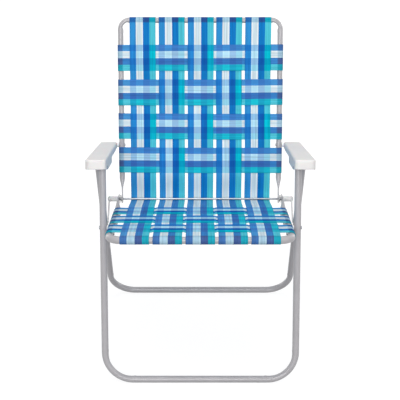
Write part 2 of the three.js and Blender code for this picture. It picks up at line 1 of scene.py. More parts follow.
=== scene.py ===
# %% [markdown]
# # Folding webbed lawn chair
# Four steel tubes, each bent to a U, carry two moulded arms and a seat of interlaced striped webbing.
# The imported model is loaded as a fixed frame. Every piece below is worked out in that frame, in metres,
# and all but the long straps ride on one of its bodies, so that they move with it.

# %% Load the frame
import json

import bmesh
import bpy
import numpy as np
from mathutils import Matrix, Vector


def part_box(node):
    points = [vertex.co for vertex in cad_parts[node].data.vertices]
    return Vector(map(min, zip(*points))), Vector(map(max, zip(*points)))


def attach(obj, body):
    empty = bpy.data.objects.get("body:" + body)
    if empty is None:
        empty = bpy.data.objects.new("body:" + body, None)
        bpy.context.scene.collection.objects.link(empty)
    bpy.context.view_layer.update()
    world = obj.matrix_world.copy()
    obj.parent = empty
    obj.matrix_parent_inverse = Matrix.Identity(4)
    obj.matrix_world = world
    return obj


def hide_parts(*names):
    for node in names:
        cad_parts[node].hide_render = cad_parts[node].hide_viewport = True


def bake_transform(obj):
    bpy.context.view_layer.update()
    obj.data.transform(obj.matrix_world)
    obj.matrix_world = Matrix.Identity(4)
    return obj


MM = 0.001
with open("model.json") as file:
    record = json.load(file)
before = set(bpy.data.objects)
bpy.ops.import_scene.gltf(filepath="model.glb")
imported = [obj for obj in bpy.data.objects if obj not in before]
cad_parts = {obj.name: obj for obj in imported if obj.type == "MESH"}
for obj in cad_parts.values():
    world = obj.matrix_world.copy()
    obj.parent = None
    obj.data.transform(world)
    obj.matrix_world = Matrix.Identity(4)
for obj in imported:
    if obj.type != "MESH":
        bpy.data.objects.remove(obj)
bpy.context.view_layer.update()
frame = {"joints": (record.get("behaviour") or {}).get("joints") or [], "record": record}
bodies = frame["record"]["behaviour"]["bodies"]
body_of = {node: body for body, nodes in bodies.items() for node in nodes}

# %% [markdown]
# ## Side view
# Seen from the side, the chair is a few straight lines between pivots. The joints of the frame give the
# pivots, and the lines between them give every direction: up the front legs, back along the seat, down
# the rear legs. The fold is a parallelogram, so the arm's rear pivot follows from the other three.
# All of this could be typed in as coordinates. Worked out from the joints, it stays true to the way in
# which the chair folds.

# %% Pivots and directions
SEAT_PIVOT_UP = 428 * MM
SEAT_NOSE = 125 * MM
ROD_LIFT = 8 * MM
BACK_HEIGHT = 530 * MM
LEG_SPREAD = np.radians(38.9)
X = np.array([1.0, 0.0, 0.0])


def unit(vector):
    """The vector divided by its length."""
    return vector / np.linalg.norm(vector)


def tip(vector, angle):
    """The vector turned about X: y and z are mixed by the angle's cosine and sine."""
    y, z = vector[1], vector[2]
    return np.array([0.0, y * np.cos(angle) - z * np.sin(angle), y * np.sin(angle) + z * np.cos(angle)])


pivot = {joint["name"]: np.array(joint["pos_m"]) * (0, 1, 1) for joint in frame["joints"]}
seat_pivot = pivot["seat_fold"]
hinge = pivot["back_fold"]
arm_pivot = pivot["left_arm_fold"]
rear_pivot = pivot["rear_leg_fold"]
back_pivot = arm_pivot + hinge - seat_pivot
pivot_rise = np.linalg.norm(arm_pivot - seat_pivot)
pivot_reach = np.linalg.norm(hinge - seat_pivot)

leg_up = unit(arm_pivot - seat_pivot)
front_foot = seat_pivot - leg_up * SEAT_PIVOT_UP
seat_back = tip(unit(hinge - seat_pivot), -np.arcsin(ROD_LIFT / pivot_reach))
seat_rail = seat_pivot - seat_back * SEAT_NOSE
seat_to_rod = (hinge - seat_rail) @ seat_back
seat_out = np.cross(X, seat_back)
back_rail = hinge + leg_up * BACK_HEIGHT
back_out = np.cross(X, leg_up)
rear_down = tip(-leg_up, LEG_SPREAD)
rear_length = (rear_pivot[2] - front_foot[2]) / -rear_down[2]
rear_foot = rear_pivot + rear_down * rear_length
pin_at_rest = 2 * pivot_rise * np.cos(LEG_SPREAD)
stay_pin = rear_pivot + rear_down * pin_at_rest
print("seat is", round(seat_to_rod / MM), "mm deep, rear legs", round(rear_length / MM), "mm long")

# %% [markdown]
# ## Across the chair
# The tubes nest: the back inside the seat, the seat inside the front legs, the front legs inside the
# rear legs. The half width of the front legs is given. Each of the others follows from its neighbour's
# by the two radii, by what lies between them (a bush, a washer or a stay) and by a gap, so the tubes stay
# clear of each other when a size is changed.

# %% Half widths
LEG_R = 9.5 * MM
SEAT_R = 9.5 * MM
BACK_R = 8 * MM
WALL = 1.2 * MM
GAP = 0.3 * MM
TAB_THICK = 3 * MM
TAB_JOG = 5 * MM
LEG_HALF = 263.5 * MM
BUSH_THICK = 4 * MM
WASHER_LONG = 6.7 * MM
STAY_CLEAR = 0.6 * MM
STAY_THICK = 3 * MM

seat_half = LEG_HALF - LEG_R - BUSH_THICK - 2 * GAP - SEAT_R
tab_half = seat_half + TAB_JOG
back_half = tab_half - TAB_THICK - WASHER_LONG - 2 * GAP
stay_in = LEG_HALF + LEG_R + STAY_CLEAR
rear_half = stay_in + STAY_THICK + STAY_CLEAR + LEG_R
print("half widths, mm:", [round(v / MM, 1) for v in (back_half, seat_half, LEG_HALF, rear_half)])

# %% [markdown]
# ## From arrays to meshes
# Blender's own cylinders, curves and modifiers could make most of these pieces. A grid of points that is
# worked out with numpy gives exact sizes instead, and the same mesh on every run. Rows run along the
# piece and columns run round it. Quads join neighbours, the last column meets the first, and rows that
# shrink to a point close the ends. Points that coincide are merged, so that poles and seams are closed,
# and the faces are then made to point outwards.

# %% Grids and meshes
SHARP = np.radians(38)
MERGE = 1e-6


def quads(first, rows, columns):
    """Corner numbers of the faces of a grid whose columns form a ring."""
    index = first + np.arange(rows * columns).reshape(rows, columns)
    index = np.hstack([index, index[:, :1]])
    corners = [index[:-1, :-1], index[:-1, 1:], index[1:, 1:], index[1:, :-1]]
    return np.stack(corners, axis=-1).reshape(-1, 4)


def mesh_of(name, grids, attributes=None):
    """One mesh from several closed grids, with named vectors on its points if any are given."""
    first = np.cumsum([0] + [grid.shape[0] * grid.shape[1] for grid in grids])
    faces = np.vstack([quads(start, *grid.shape[:2]) for start, grid in zip(first, grids)])
    points = np.vstack([grid.reshape(-1, 3) for grid in grids])
    mesh = bpy.data.meshes.new(name)
    mesh.from_pydata(points.tolist(), [], faces.tolist())
    for key, values in (attributes or {}).items():
        layer = mesh.attributes.new(key, "FLOAT_VECTOR", "POINT")
        layer.data.foreach_set("vector", values.astype(np.float32).ravel())
    net = bmesh.new()
    net.from_mesh(mesh)
    bmesh.ops.remove_doubles(net, verts=net.verts, dist=MERGE)
    bmesh.ops.recalc_face_normals(net, faces=net.faces)
    net.to_mesh(mesh)
    net.free()
    mesh.shade_smooth()
    mesh.set_sharp_from_angle(angle=SHARP)
    return mesh


print("a grid of 3 rows and 4 columns has", len(quads(0, 3, 4)), "faces")

# %% [markdown]
# ## From meshes to pieces
# A mesh becomes a piece when it is an object at the origin, has a finish and rides on a body. A row that
# shrinks to a point closes the end of a tube or bar. Holes and slots are taken out with a boolean, which
# is worked out at once, so that the piece keeps a plain mesh.

# %% Pieces
def place(name, grids, attributes=None):
    """A mesh object in the scene, at the origin."""
    thing = bpy.data.objects.new(name, mesh_of(name, grids, attributes))
    bpy.context.scene.collection.objects.link(thing)
    return thing


def dress(thing, finish, *nodes, body=None):
    """Gives a piece its finish and lets it ride with the nodes that it stands for."""
    material, slot = finish
    thing.data.materials.append(material)
    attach(thing, body or body_of[nodes[0]])
    if nodes:
        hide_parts(*nodes)
    return thing


def closed(points):
    """The grid with a row at each end that shrinks to the middle of the end ring."""
    ends = points[[0, -1]].mean(axis=1, keepdims=True) * np.ones((2, points.shape[1], 1))
    return np.concatenate([ends[:1], points, ends[1:]])


def cut(thing, grids):
    """Takes closed grids away from a piece, as a drill or a punch does."""
    tool = place("cutter", grids)
    modifier = thing.modifiers.new("cut", "BOOLEAN")
    modifier.object = tool
    modifier.solver = "EXACT"
    graph = bpy.context.evaluated_depsgraph_get()
    finished = bpy.data.meshes.new_from_object(thing.evaluated_get(graph))
    thing.modifiers.clear()
    thing.data = finished
    thing.data.name = thing.name
    thing.data.set_sharp_from_angle(angle=SHARP)
    bpy.data.objects.remove(tool)


print("bodies to ride on:", ", ".join(bodies))

# %% [markdown]
# ## Finishes
# A finish starts from what the real surface is and how it was made. Pictures of such surfaces could be
# wrapped round the pieces, but would show seams and stretch at the bends. Patterns that are worked out
# from a place in space, or from a place on the strap, have neither. One function turns the colours from
# sRGB hex to the linear values that the renderer works in, and one adds a node with its settings and
# links.

# %% Colour and node helpers
def linear(code):
    """An sRGB hex colour as linear RGBA: the sRGB curve undone on each channel."""
    srgb = np.array([int(code[i:i + 2], 16) for i in (1, 3, 5)]) / 255
    rgb = np.where(srgb <= 0.04045, srgb / 12.92, ((srgb + 0.055) / 1.055) ** 2.4)
    return (*rgb.tolist(), 1.0)


def add(tree, kind, inputs=None, stops=(), **settings):
    """Adds a node, with settings on it, values or links on its inputs, and the stops of a colour band."""
    made = tree.nodes.new(kind)
    for key, value in settings.items():
        setattr(made, key, value)
    for number, (where, colour) in enumerate(stops):
        band = made.color_ramp
        band.interpolation = "CONSTANT"
        stop = band.elements[0] if number == 0 else band.elements.new(where)
        if number == 0:
            band.elements.remove(band.elements[1])
            stop.position = where
        stop.color = linear(colour)
    for key, value in (inputs or {}).items():
        if isinstance(value, bpy.types.NodeSocket):
            tree.links.new(value, made.inputs[key])
        else:
            made.inputs[key].default_value = value
    return made


def blank(name):
    """A new material with an empty node tree."""
    material = bpy.data.materials.new(name)
    material.use_nodes = True
    material.node_tree.nodes.clear()
    return material, material.node_tree


WHITE = linear("#FFFFFF")
print("mid grey #808080 in linear light:", round(linear("#808080")[0], 3))

# %% [markdown]
# ## Powder coat
# The tubes are steel with a light grey powder coat: a satin paint that flows a little as it is baked, so
# it has a faint orange peel under a smoother skin. The eye reads soft grey highlights and a slight mottle
# in the shade of grey. Near the floor the tubes are painted darker, as painted shade under the rails,
# broken up by noise. One plain grey would look like plastic, so there are three noises, each with its
# own size: the mottle, the blotches of the painted shade and the peel.

# %% Powder coat on steel tube
# Pattern sizes are in millimetres. Real orange peel is about 1 mm wide and is drawn coarser, to show.
PAINT_TONES = ("#A4A2A5", "#B1AFB2")
# The dark grey near the floor is painted shade, the colour of the tubes' shaded lower edge.
UNDERSIDE_SHADE = "#7F7D80"
PEEL = 2.2
MOTTLE = 38
SHADE_BLOTCH = 6.25
SHADE_HIGH = 7 * MM


def powder_coat():
    """Satin grey paint: mottled, painted darker near the floor as shade, with a fine orange peel bump
    and a smooth coat over it."""
    material, tree = blank("powder_coated_steel")
    where = add(tree, "ShaderNodeTexCoord").outputs["Object"]
    mottle = add(tree, "ShaderNodeTexNoise", {"Vector": where, "Scale": 1000 / MOTTLE, "Detail": 4.0})
    grey = add(tree, "ShaderNodeMix", {
        0: mottle.outputs["Fac"], 6: linear(PAINT_TONES[0]), 7: linear(PAINT_TONES[1])}, data_type="RGBA")
    # Below a few millimetres the grey is mixed, in noisy blotches, towards a darker grey: painted shade
    # under the tubes near the floor.
    height = add(tree, "ShaderNodeSeparateXYZ", {0: where}).outputs["Z"]
    low = add(tree, "ShaderNodeMapRange", {
        "Value": height, "From Min": 0.0, "From Max": SHADE_HIGH, "To Min": 1.0, "To Max": 0.0})
    blotch = add(tree, "ShaderNodeTexNoise", {"Vector": where, "Scale": 1000 / SHADE_BLOTCH, "Detail": 6.0})
    shaded = add(tree, "ShaderNodeMath", {
        0: low.outputs[0], 1: blotch.outputs["Fac"]}, operation="MULTIPLY")
    paint = add(tree, "ShaderNodeMix", {
        0: shaded.outputs[0], 6: grey.outputs[2], 7: linear(UNDERSIDE_SHADE)}, data_type="RGBA")
    rough = add(tree, "ShaderNodeMapRange", {
        "Value": mottle.outputs["Fac"], "To Min": 0.30, "To Max": 0.40})
    peel = add(tree, "ShaderNodeTexNoise", {"Vector": where, "Scale": 1000 / PEEL, "Detail": 2.0})
    bump = add(tree, "ShaderNodeBump", {
        "Height": peel.outputs["Fac"], "Strength": 0.06, "Distance": 0.2 * MM})
    shader = add(tree, "ShaderNodeBsdfPrincipled", {
        "Base Color": paint.outputs[2], "Roughness": rough.outputs[0], "Normal": bump.outputs[0],
        "Metallic": 0.0, "IOR": 1.5, "Specular IOR Level": 0.2,
        "Coat Weight": 0.5, "Coat Roughness": 0.1})
    add(tree, "ShaderNodeOutputMaterial", {"Surface": shader.outputs[0]})
    return material, "frame_paint"


FRAME_PAINT = powder_coat()
print("finish:", FRAME_PAINT[0].name)

# %% [markdown]
# ## Bent tubes
# A curve with a round bevel would make a tube quickly, but a real tube that is bent round a former goes
# flat on the inside of the bend and swells just before it. So a ring of points is carried along a path,
# and its shape changes on the way: a smooth step along the bend gives the flat, and a bell curve at each
# end gives the swell. Each frame is a U, so only its left half is worked out, from the end of the leg to
# the middle of the rail.

# %% Half a U
BEND_STEPS = 28
RAIL_STEPS = 60
SWELL = 0.07
SWELL_LONG = 4 * MM
EASE = 0.14
FINE_GAP = 3 * MM


def smooth(value):
    """The smooth step: 3t squared less 2t cubed, held at 0 and 1 outside its range."""
    t = np.clip(value, 0, 1)
    return t * t * (3 - 2 * t)


def leg_places(start, bend, fine, steps, fine_steps):
    """Places down a leg to its bend: wide steps, then fine ones over the last stretch, where it swells."""
    wide = np.linspace(start, bend + fine + FINE_GAP, steps)
    return np.concatenate([wide, np.linspace(bend + fine, bend, fine_steps)])


def u_half(half, bend, leg, flatten):
    """Stations of half a U, left leg first: columns x, p (distance along the leg from the rail's axis),
    turn (0 on the leg, 90 degrees on the rail) and the share by which the inside goes flat."""
    turn = np.linspace(0, np.pi / 2, BEND_STEPS)[1:-1]
    rail = np.linspace(half - bend, 0, RAIL_STEPS)
    x = np.concatenate([-half * np.ones_like(leg), -half + bend * (1 - np.cos(turn)), -rail])
    p = np.concatenate([leg, bend * (1 - np.sin(turn)), 0 * rail])
    angle = np.concatenate([0 * leg, turn, np.pi / 2 + 0 * rail])
    past = np.concatenate([leg - bend, -bend * np.minimum(turn, np.pi / 2 - turn), half - bend - rail])
    inside = smooth(-past / (EASE * np.pi * bend))
    swell = np.exp(-((past - SWELL_LONG) / SWELL_LONG) ** 2)
    return np.column_stack([x, p, angle, SWELL * swell - flatten * inside])


print("half a U has", BEND_STEPS, "stations in its bend and", RAIL_STEPS, "on its rail")

# %% [markdown]
# A ring is a super-ellipse, which goes from a circle to a rounded box as its power rises, so the same
# ring serves round tube and pressed ends. The right half of the U is the mirror image of the left.

# %% Rings of the U tube
RING = 40
SIDE_BULGE = 0.25


def u_tube(origin, along, stations, thin, wide, square=2.0, lift=0.0, jog=0.0):
    """Rings along half a U and its mirror image. A ring is a super-ellipse: its reach towards the inside
    of the U is thin, its reach out of the plane is wide, and square sets how boxy it is."""
    face = np.cross(X, along)
    x, p, angle, share = (column[:, None] for column in stations.T)
    thin, wide, square, lift, jog = (np.broadcast_to(v, len(stations))[:, None]
                                     for v in (thin, wide, square, lift, jog))
    turn = np.linspace(0, 2 * np.pi, RING, endpoint=False)[None, :]
    c, s = np.cos(turn), np.sin(turn)
    inward = thin * np.sign(c) * np.abs(c) ** (2 / square) * (1 + share * np.maximum(c, 0))
    bulge = 1 - SIDE_BULGE * np.minimum(share, 0)
    out = lift + wide * np.sign(s) * np.abs(s) ** (2 / square) * bulge
    across = x - jog + inward * np.cos(angle)
    down = p + inward * np.sin(angle)
    left = origin + across[..., None] * X + down[..., None] * along + out[..., None] * face
    right = (left * (-1, 1, 1))[::-1][1:]
    return closed(np.concatenate([left, right]))


print("a tube has", RING, "points round it")

# %% [markdown]
# ## Front and rear legs
# The legs end in open tube, inside the arms. A flat cap would look the same from outside, but a frame is
# also looked at on its own, so the wall turns in at the end and runs a little way down inside. The rear
# legs have a slot on the inner side of each leg, where the stay pin runs as the chair folds. It crosses
# too many rings to be drawn into the grid, so it is punched through the wall.

# %% Leg frames
LEG_BEND = 78 * MM
LEG_TOP_PAST_PIVOT = 12 * MM
LEG_FLATTEN = 0.16
LEG_FINE = 27 * MM
LEG_STEPS = (50, 14)
BORE_SHOWN = 40 * MM
LIP_LONG = 4 * MM
EDGE_BREAK = 0.3 * MM
SLOT_WIDE = 7 * MM
SLOT_DEEP = 9 * MM
PUNCH_OUT = 2 * MM


def open_leg(origin, along, top, half):
    """A leg U: wall thickness shown at both open ends, then the outer skin from end to end."""
    inner = np.array([top - BORE_SHOWN, top - EDGE_BREAK, top, top])
    skin = leg_places(top - LIP_LONG, LEG_BEND, LEG_FINE, *LEG_STEPS)
    leg = np.concatenate([inner, [top - EDGE_BREAK], skin])
    stations = u_half(half, LEG_BEND, leg, LEG_FLATTEN)
    radius = LEG_R * np.ones(len(stations))
    radius[:len(inner)] = LEG_R - WALL + np.array([0, 0, EDGE_BREAK, WALL - EDGE_BREAK])
    return u_tube(origin, along, stations, radius, radius)


def stadium(start, end, radius, count=24):
    """A ring of points round a line: a half circle about each end."""
    way = unit(end - start)
    side = np.cross(X, way)
    turn = np.linspace(0, np.pi, count)[:, None]
    far = end + radius * (np.cos(turn) * side + np.sin(turn) * way)
    near = start - radius * (np.cos(turn) * side + np.sin(turn) * way)
    return np.concatenate([far, near])


front_top = SEAT_PIVOT_UP + pivot_rise + LEG_TOP_PAST_PIVOT
front_legs = place("front_leg_tube", [open_leg(front_foot, leg_up, front_top, LEG_HALF)])
dress(front_legs, FRAME_PAINT, "front_leg_frame")

rear_top = rear_length + LEG_TOP_PAST_PIVOT
rear_legs = place("rear_leg_tube", [open_leg(rear_foot, -rear_down, rear_top, rear_half)])
slot = stadium(stay_pin, rear_pivot + rear_down * 2 * pivot_rise, SLOT_WIDE / 2)
slot_x = (rear_half - LEG_R - PUNCH_OUT, rear_half - LEG_R + SLOT_DEEP)
cut(rear_legs, [closed(np.stack([slot + side * x * X for x in slot_x])) for side in (-1, 1)])
dress(rear_legs, FRAME_PAINT, "rear_leg_frame")
print("legs:", len(front_legs.data.polygons), "and", len(rear_legs.data.polygons), "faces")

# %% [markdown]
# ## Seat and back frames
# These two are hinged on the rod by ends pressed flat in a tool. Pressing keeps the length round the
# tube, so the tab is as wide as half the circumference. The ring goes from a circle to a thin boxy oval
# over the taper, and the tip is rounded about the rod's hole. A plate joined to a round tube would leave
# a step, which a pressed end doesn't have.

# %% Frames with pressed ends
# The back has a tighter bend and a longer taper than the ones that set out the straps further down.
SEAT_BEND = 40 * MM
BACK_BEND = 34 * MM
TOP_BEND = 27 * MM
SEAT_FLAT_TO = 45 * MM
SEAT_ROUND_FROM = 116 * MM
BACK_FLAT_TO = 31 * MM
BACK_ROUND_FROM = 54 * MM
BACK_TAPER_TO = 64 * MM
BOXY = 6.0
TIGHT_FLATTEN = 0.45
PRESSED_FINE = 23 * MM
PRESSED_STEPS = (40, 12)
NOSE_FROM = 84
NOSE_STEPS = 16
TAPER_STEPS = 30


def pressed(origin, along, radius, half, bend, hole, flat_to, round_from, lift, jog):
    """A U whose ends are pressed flat about a hole at p = hole, flat up to flat_to before it and round
    again from round_from."""
    tab = np.pi * radius / 2
    nose = np.radians(np.linspace(NOSE_FROM, 0, NOSE_STEPS))
    taper = np.linspace(0, 1, TAPER_STEPS)
    leg = np.concatenate([
        hole + tab * np.sin(nose),
        hole - flat_to - (round_from - flat_to) * taper,
        leg_places(hole - round_from, bend, PRESSED_FINE, *PRESSED_STEPS)[1:]])
    stations = u_half(half, bend, leg, TIGHT_FLATTEN)
    share = np.ones(len(stations))
    share[:len(nose)] = 0
    share[len(nose):len(nose) + len(taper)] = (smooth(taper) + taper) / 2
    boxy = np.ones(len(stations))
    boxy[:len(nose) + len(taper)] = np.sqrt(np.concatenate([0 * nose, taper]))
    wide = tab + (radius - tab) * share
    wide[:len(nose)] *= np.cos(nose)
    thin = TAB_THICK / 2 + (radius - TAB_THICK / 2) * share
    flat = 1 - share
    square = BOXY + (2 - BOXY) * boxy
    return u_tube(origin, along, stations, thin, wide, square, lift * flat, jog * flat)


seat_frame = place("seat_tube", [pressed(
    seat_rail, seat_back, SEAT_R, seat_half, SEAT_BEND, seat_to_rod,
    SEAT_FLAT_TO, SEAT_ROUND_FROM, ROD_LIFT, TAB_JOG)])
dress(seat_frame, FRAME_PAINT, "seat_frame")
back_frame = place("back_tube", [pressed(
    back_rail, -leg_up, BACK_R, back_half, TOP_BEND, BACK_HEIGHT,
    BACK_FLAT_TO, BACK_TAPER_TO, 0, 0)])
dress(back_frame, FRAME_PAINT, "back_frame")
print("seat tube:", len(seat_frame.data.polygons), "faces, back tube:", len(back_frame.data.polygons))

# %% [markdown]
# ## Moulded plastic
# The arms are injection-moulded polypropylene: a clean white with a fine spark-eroded texture from the
# mould, which keeps the gloss low, and a little light that goes in and comes out again near the edges.
# One flat white would look like paper, so two close whites drift into each other. The same recipe with
# other tones and gloss makes the nylon and the dark plastic of the small hardware.

# %% Moulded polypropylene
# Pattern sizes are in millimetres. Real spark erosion is a tenth as wide and is drawn coarser, to show.
CLOUD = 55
SPARK = 1.1


def moulded(name, colour, shade, slot, roughness, gloss):
    """Moulded plastic: two close tones mixed by soft clouds, and a fine texture from the mould."""
    material, tree = blank(name)
    where = add(tree, "ShaderNodeTexCoord").outputs["Object"]
    cloud = add(tree, "ShaderNodeTexNoise", {"Vector": where, "Scale": 1000 / CLOUD, "Detail": 3.0})
    tint = add(tree, "ShaderNodeMix", {
        0: cloud.outputs["Fac"], 6: linear(colour), 7: linear(shade)}, data_type="RGBA")
    spark = add(tree, "ShaderNodeTexNoise", {"Vector": where, "Scale": 1000 / SPARK, "Detail": 3.0})
    rough = add(tree, "ShaderNodeMapRange", {
        "Value": cloud.outputs["Fac"], "To Min": roughness - 0.04, "To Max": roughness + 0.05})
    bump = add(tree, "ShaderNodeBump", {
        "Height": spark.outputs["Fac"], "Strength": 0.15, "Distance": 0.15 * MM})
    shader = add(tree, "ShaderNodeBsdfPrincipled", {
        "Base Color": tint.outputs[2], "Roughness": rough.outputs[0], "Normal": bump.outputs[0],
        "IOR": 1.49, "Specular IOR Level": gloss, "Subsurface Weight": 0.08,
        "Subsurface Scale": 2 * MM})
    add(tree, "ShaderNodeOutputMaterial", {"Surface": shader.outputs[0]})
    return material, slot


ARM_PLASTIC = moulded("moulded_polypropylene", "#E6E4E3", "#DEDCDB", "arm_plastic", 0.55, 0.1)
print("finish:", ARM_PLASTIC[0].name)

# %% [markdown]
# ## Arm rests
# An arm is a channel, open below, whose plan is a long shape with round corners that narrows to the
# rear. Its lower rim dips to a lobe round the two leg pivots and runs level behind it. A bevelled box
# could be hollowed out, but its wall would not stay even along such a rim, so the arm is a pile of plan
# rings that follow it. Coordinates are across from the inner edge, along from the front pivot, and up.
# The rim is a line of bows, drawn in the side view and read off by place along the arm.

# %% The arm's side view
ARM_TILT = np.radians(3.85)
ARM_TOP = 27.5 * MM
ARM_NOSE = 45 * MM
ARM_TAIL = 12 * MM
ARM_WALL = 3.6 * MM
ARM_CLEAR = 0.4 * MM
ARM_FACE_HIGH = 26 * MM
LOBE_DROP = 8.5 * MM
LOBE_PAST_PIVOT = 36 * MM
LOBE_EASE = 12 * MM
LOBE_FILLET = 8 * MM
SKIRT_DEEP = 20 * MM
TAIL_DEEP = 18 * MM
TAIL_BLOCK = 44 * MM
RIM_PAST = 1 * MM

arm_in = LEG_HALF - LEG_R - ARM_CLEAR - ARM_WALL
arm_line = unit(back_pivot - arm_pivot)
arm_along = tip(arm_line, -ARM_TILT)
arm_up = np.cross(X, arm_along)
tail_pivot = (back_pivot - arm_pivot) @ arm_along
leg_pivot = (rear_pivot - arm_pivot) @ arm_along
arm_end = tail_pivot + ARM_TAIL
lobe_end = leg_pivot + LOBE_PAST_PIVOT


def bow(start, pull, end, count=20):
    """Points on the curve that leaves start towards pull and reaches end from it."""
    t = np.linspace(0, 1, count)[:, None]
    start, pull, end = np.array(start), np.array(pull), np.array(end)
    return (1 - t) ** 2 * start + 2 * t * (1 - t) * pull + t ** 2 * end


skirt = ARM_TOP - SKIRT_DEEP
tail_low = ARM_TOP - TAIL_DEEP
nose_low = ARM_TOP - ARM_FACE_HIGH
block = arm_end - TAIL_BLOCK
rim = np.vstack([
    [(-ARM_NOSE - RIM_PAST, nose_low)],
    bow((-ARM_NOSE + ARM_WALL, nose_low), (LOBE_EASE, -LOBE_DROP), (leg_pivot / 3, -LOBE_DROP)),
    bow((lobe_end - LOBE_DROP, -LOBE_DROP), (lobe_end, -LOBE_DROP), (lobe_end, 0)),
    bow((lobe_end, 0), (lobe_end, skirt), (lobe_end + LOBE_FILLET, skirt)),
    bow((block, skirt), (arm_end - TAIL_BLOCK / 2, tail_low), (tail_pivot, tail_low)),
    bow((tail_pivot, tail_low), (arm_end, tail_low), (arm_end + RIM_PAST, ARM_TOP - TAIL_DEEP / 2))])


def rim_at(along):
    """Height of the lower rim at a place along the arm."""
    return np.interp(along, rim[:, 0], rim[:, 1])


print("arm:", round((arm_end + ARM_NOSE) / MM), "mm long, its lobe ends at", round(lobe_end / MM), "mm")

# %% [markdown]
# The plan of the arm is a ring with four round corners. Its two long sides have points at the same
# places behind the front corners, so that the rings can be drawn in to one line along the middle.

# %% Plan rings of the arm
ARM_FRONT_WIDE = 56 * MM
ARM_REAR_WIDE = 50 * MM
ARM_CORNER = 9 * MM
OUTER_CORNER = 18 * MM
REAR_CORNER = 6 * MM
CORNER_STEPS = 9
EDGE_STEPS = 12


def arm_wide(along):
    """Width of the arm at a place along it: straight from the front's to the rear's."""
    return np.interp(along, [-ARM_NOSE, arm_end], [ARM_FRONT_WIDE, ARM_REAR_WIDE])


def arm_ring(inset, rear, along):
    """A plan ring pulled in by inset, its rear edge at rear, its long sides at the given places."""
    front = -ARM_NOSE + inset
    bend = np.linspace(0, np.pi / 2, CORNER_STEPS)
    edge = np.linspace(0, 1, EDGE_STEPS)[1:-1]
    near, far, back = (corner - inset for corner in (ARM_CORNER, OUTER_CORNER, REAR_CORNER))
    ridge_start = -ARM_NOSE + ARM_FRONT_WIDE / 2
    far_along = np.interp(along, [along[0], ridge_start, along[-1]],
                          [along[0] + far - near, ridge_start, along[-1]])
    far_x = arm_wide(front) - inset - far
    back_x = arm_wide(rear) - inset - back

    def elbow(x, y, corner, start):
        """A quarter circle about (x, y) from the start angle on."""
        return np.column_stack([x + corner * np.cos(start + bend), y + corner * np.sin(start + bend)])

    def line(x0, x1, y):
        """Points between the two ends of an edge that lies at y."""
        return np.column_stack([x0 + (x1 - x0) * edge, y + 0 * edge])

    return np.vstack([
        line(inset + near, far_x, front),
        elbow(far_x, front + far, far, -np.pi / 2),
        np.column_stack([arm_wide(far_along) - inset, far_along]),
        elbow(back_x, rear - back, back, 0),
        line(back_x, inset + back, rear),
        elbow(inset + back, rear - back, back, np.pi / 2),
        np.column_stack([inset + 0 * along, along])[::-1],
        elbow(inset + near, front + near, near, np.pi)])


def arm_spine(ring, front, rear):
    """The ring drawn in to the line along the middle of the arm, as far as that line goes."""
    along = np.clip(ring[:, 1], front + ARM_FRONT_WIDE / 2, rear - ARM_REAR_WIDE / 2)
    return np.column_stack([arm_wide(along) / 2, along])


print("arm plan:", round(ARM_FRONT_WIDE / MM), "mm wide in front,", round(ARM_REAR_WIDE / MM), "behind")

# %% [markdown]
# The skin of an arm is a pile of such rings: from the line along the middle of the top, out over the
# rounded edge, down the wall to the rim, round the rim, and up inside to the ceiling.

# %% Skin of the arm
ARM_EDGE = 5 * MM
ARM_CROWN = 0.4 * MM
ARM_STEPS = 90
STEEP_STEPS = 30
EDGE_RINGS = 10
LIP_RINGS = 13
HOLLOW_EASE = 0.98


def arm_rings():
    """Rows of (across, along, up): top, rounded edge, wall, rim, inner wall, ceiling."""
    steep = np.linspace(lobe_end - LOBE_DROP, lobe_end + LOBE_FILLET, STEEP_STEPS)
    along = np.linspace(-ARM_NOSE + ARM_CORNER, arm_end - ARM_CORNER, ARM_STEPS)[1:-1]
    along = np.union1d(np.round(along, 6), np.round(steep, 6))
    last = block - (ARM_CORNER - ARM_WALL)
    fold = last - TAIL_BLOCK / 2
    squeeze = (last - fold) / (along[-1] - fold)
    inside = np.where(along < fold, along, fold + (along - fold) * squeeze * HOLLOW_EASE)

    outer = arm_ring(0, arm_end, along)
    shoulder = arm_ring(ARM_EDGE, arm_end - ARM_EDGE, along)
    spine = arm_spine(shoulder, -ARM_NOSE, arm_end)
    inner = arm_ring(ARM_WALL, block, inside)
    ridge = arm_spine(inner, -ARM_NOSE, block)
    rows = []

    def row(plan, up):
        """Adds a ring of the plan at a height."""
        rows.append(np.column_stack([plan, up + np.zeros(len(plan))]))

    for share in (0, 0.2, 0.4, 0.6, 0.8, 0.93):
        row(spine + (shoulder - spine) * share, ARM_TOP + ARM_CROWN * (1 - share ** 2))
    for turn in np.radians(np.linspace(0, 90, EDGE_RINGS)):
        inset = ARM_EDGE * (1 - np.sin(turn))
        row(arm_ring(inset, arm_end - inset, along), ARM_TOP - ARM_EDGE * (1 - np.cos(turn)))
    lip = ARM_WALL / 2
    start = ARM_TOP - ARM_EDGE
    for share in (0.25, 0.5, 0.75):
        row(outer, start + (rim_at(outer[:, 1]) + lip - start) * share)
    for turn in np.radians(np.linspace(0, 180, LIP_RINGS)):
        ring = outer + (inner - outer) * (1 - np.cos(turn)) / 2
        row(ring, rim_at(ring[:, 1]) + lip * (1 - np.sin(turn)))
    ceiling = ARM_TOP - ARM_WALL
    foot = rim_at(inner[:, 1]) + lip
    for share in (0.3, 0.6, 0.9, 1):
        row(inner, foot + (ceiling - foot) * share)
    for share in (0.9, 0.5, 0):
        row(ridge + (inner - ridge) * share, ceiling)
    return np.stack(rows)


rings = arm_rings()
print("arm skin:", rings.shape[0], "rings of", rings.shape[1], "points")

# %% [markdown]
# The left arm mirrors the right one. Pin holes are drilled through the inner wall. The rear pin ends in
# its hole, and the front pin gets a domed head that covers its own. Thin ribs stiffen the slim rear half
# of the channel.

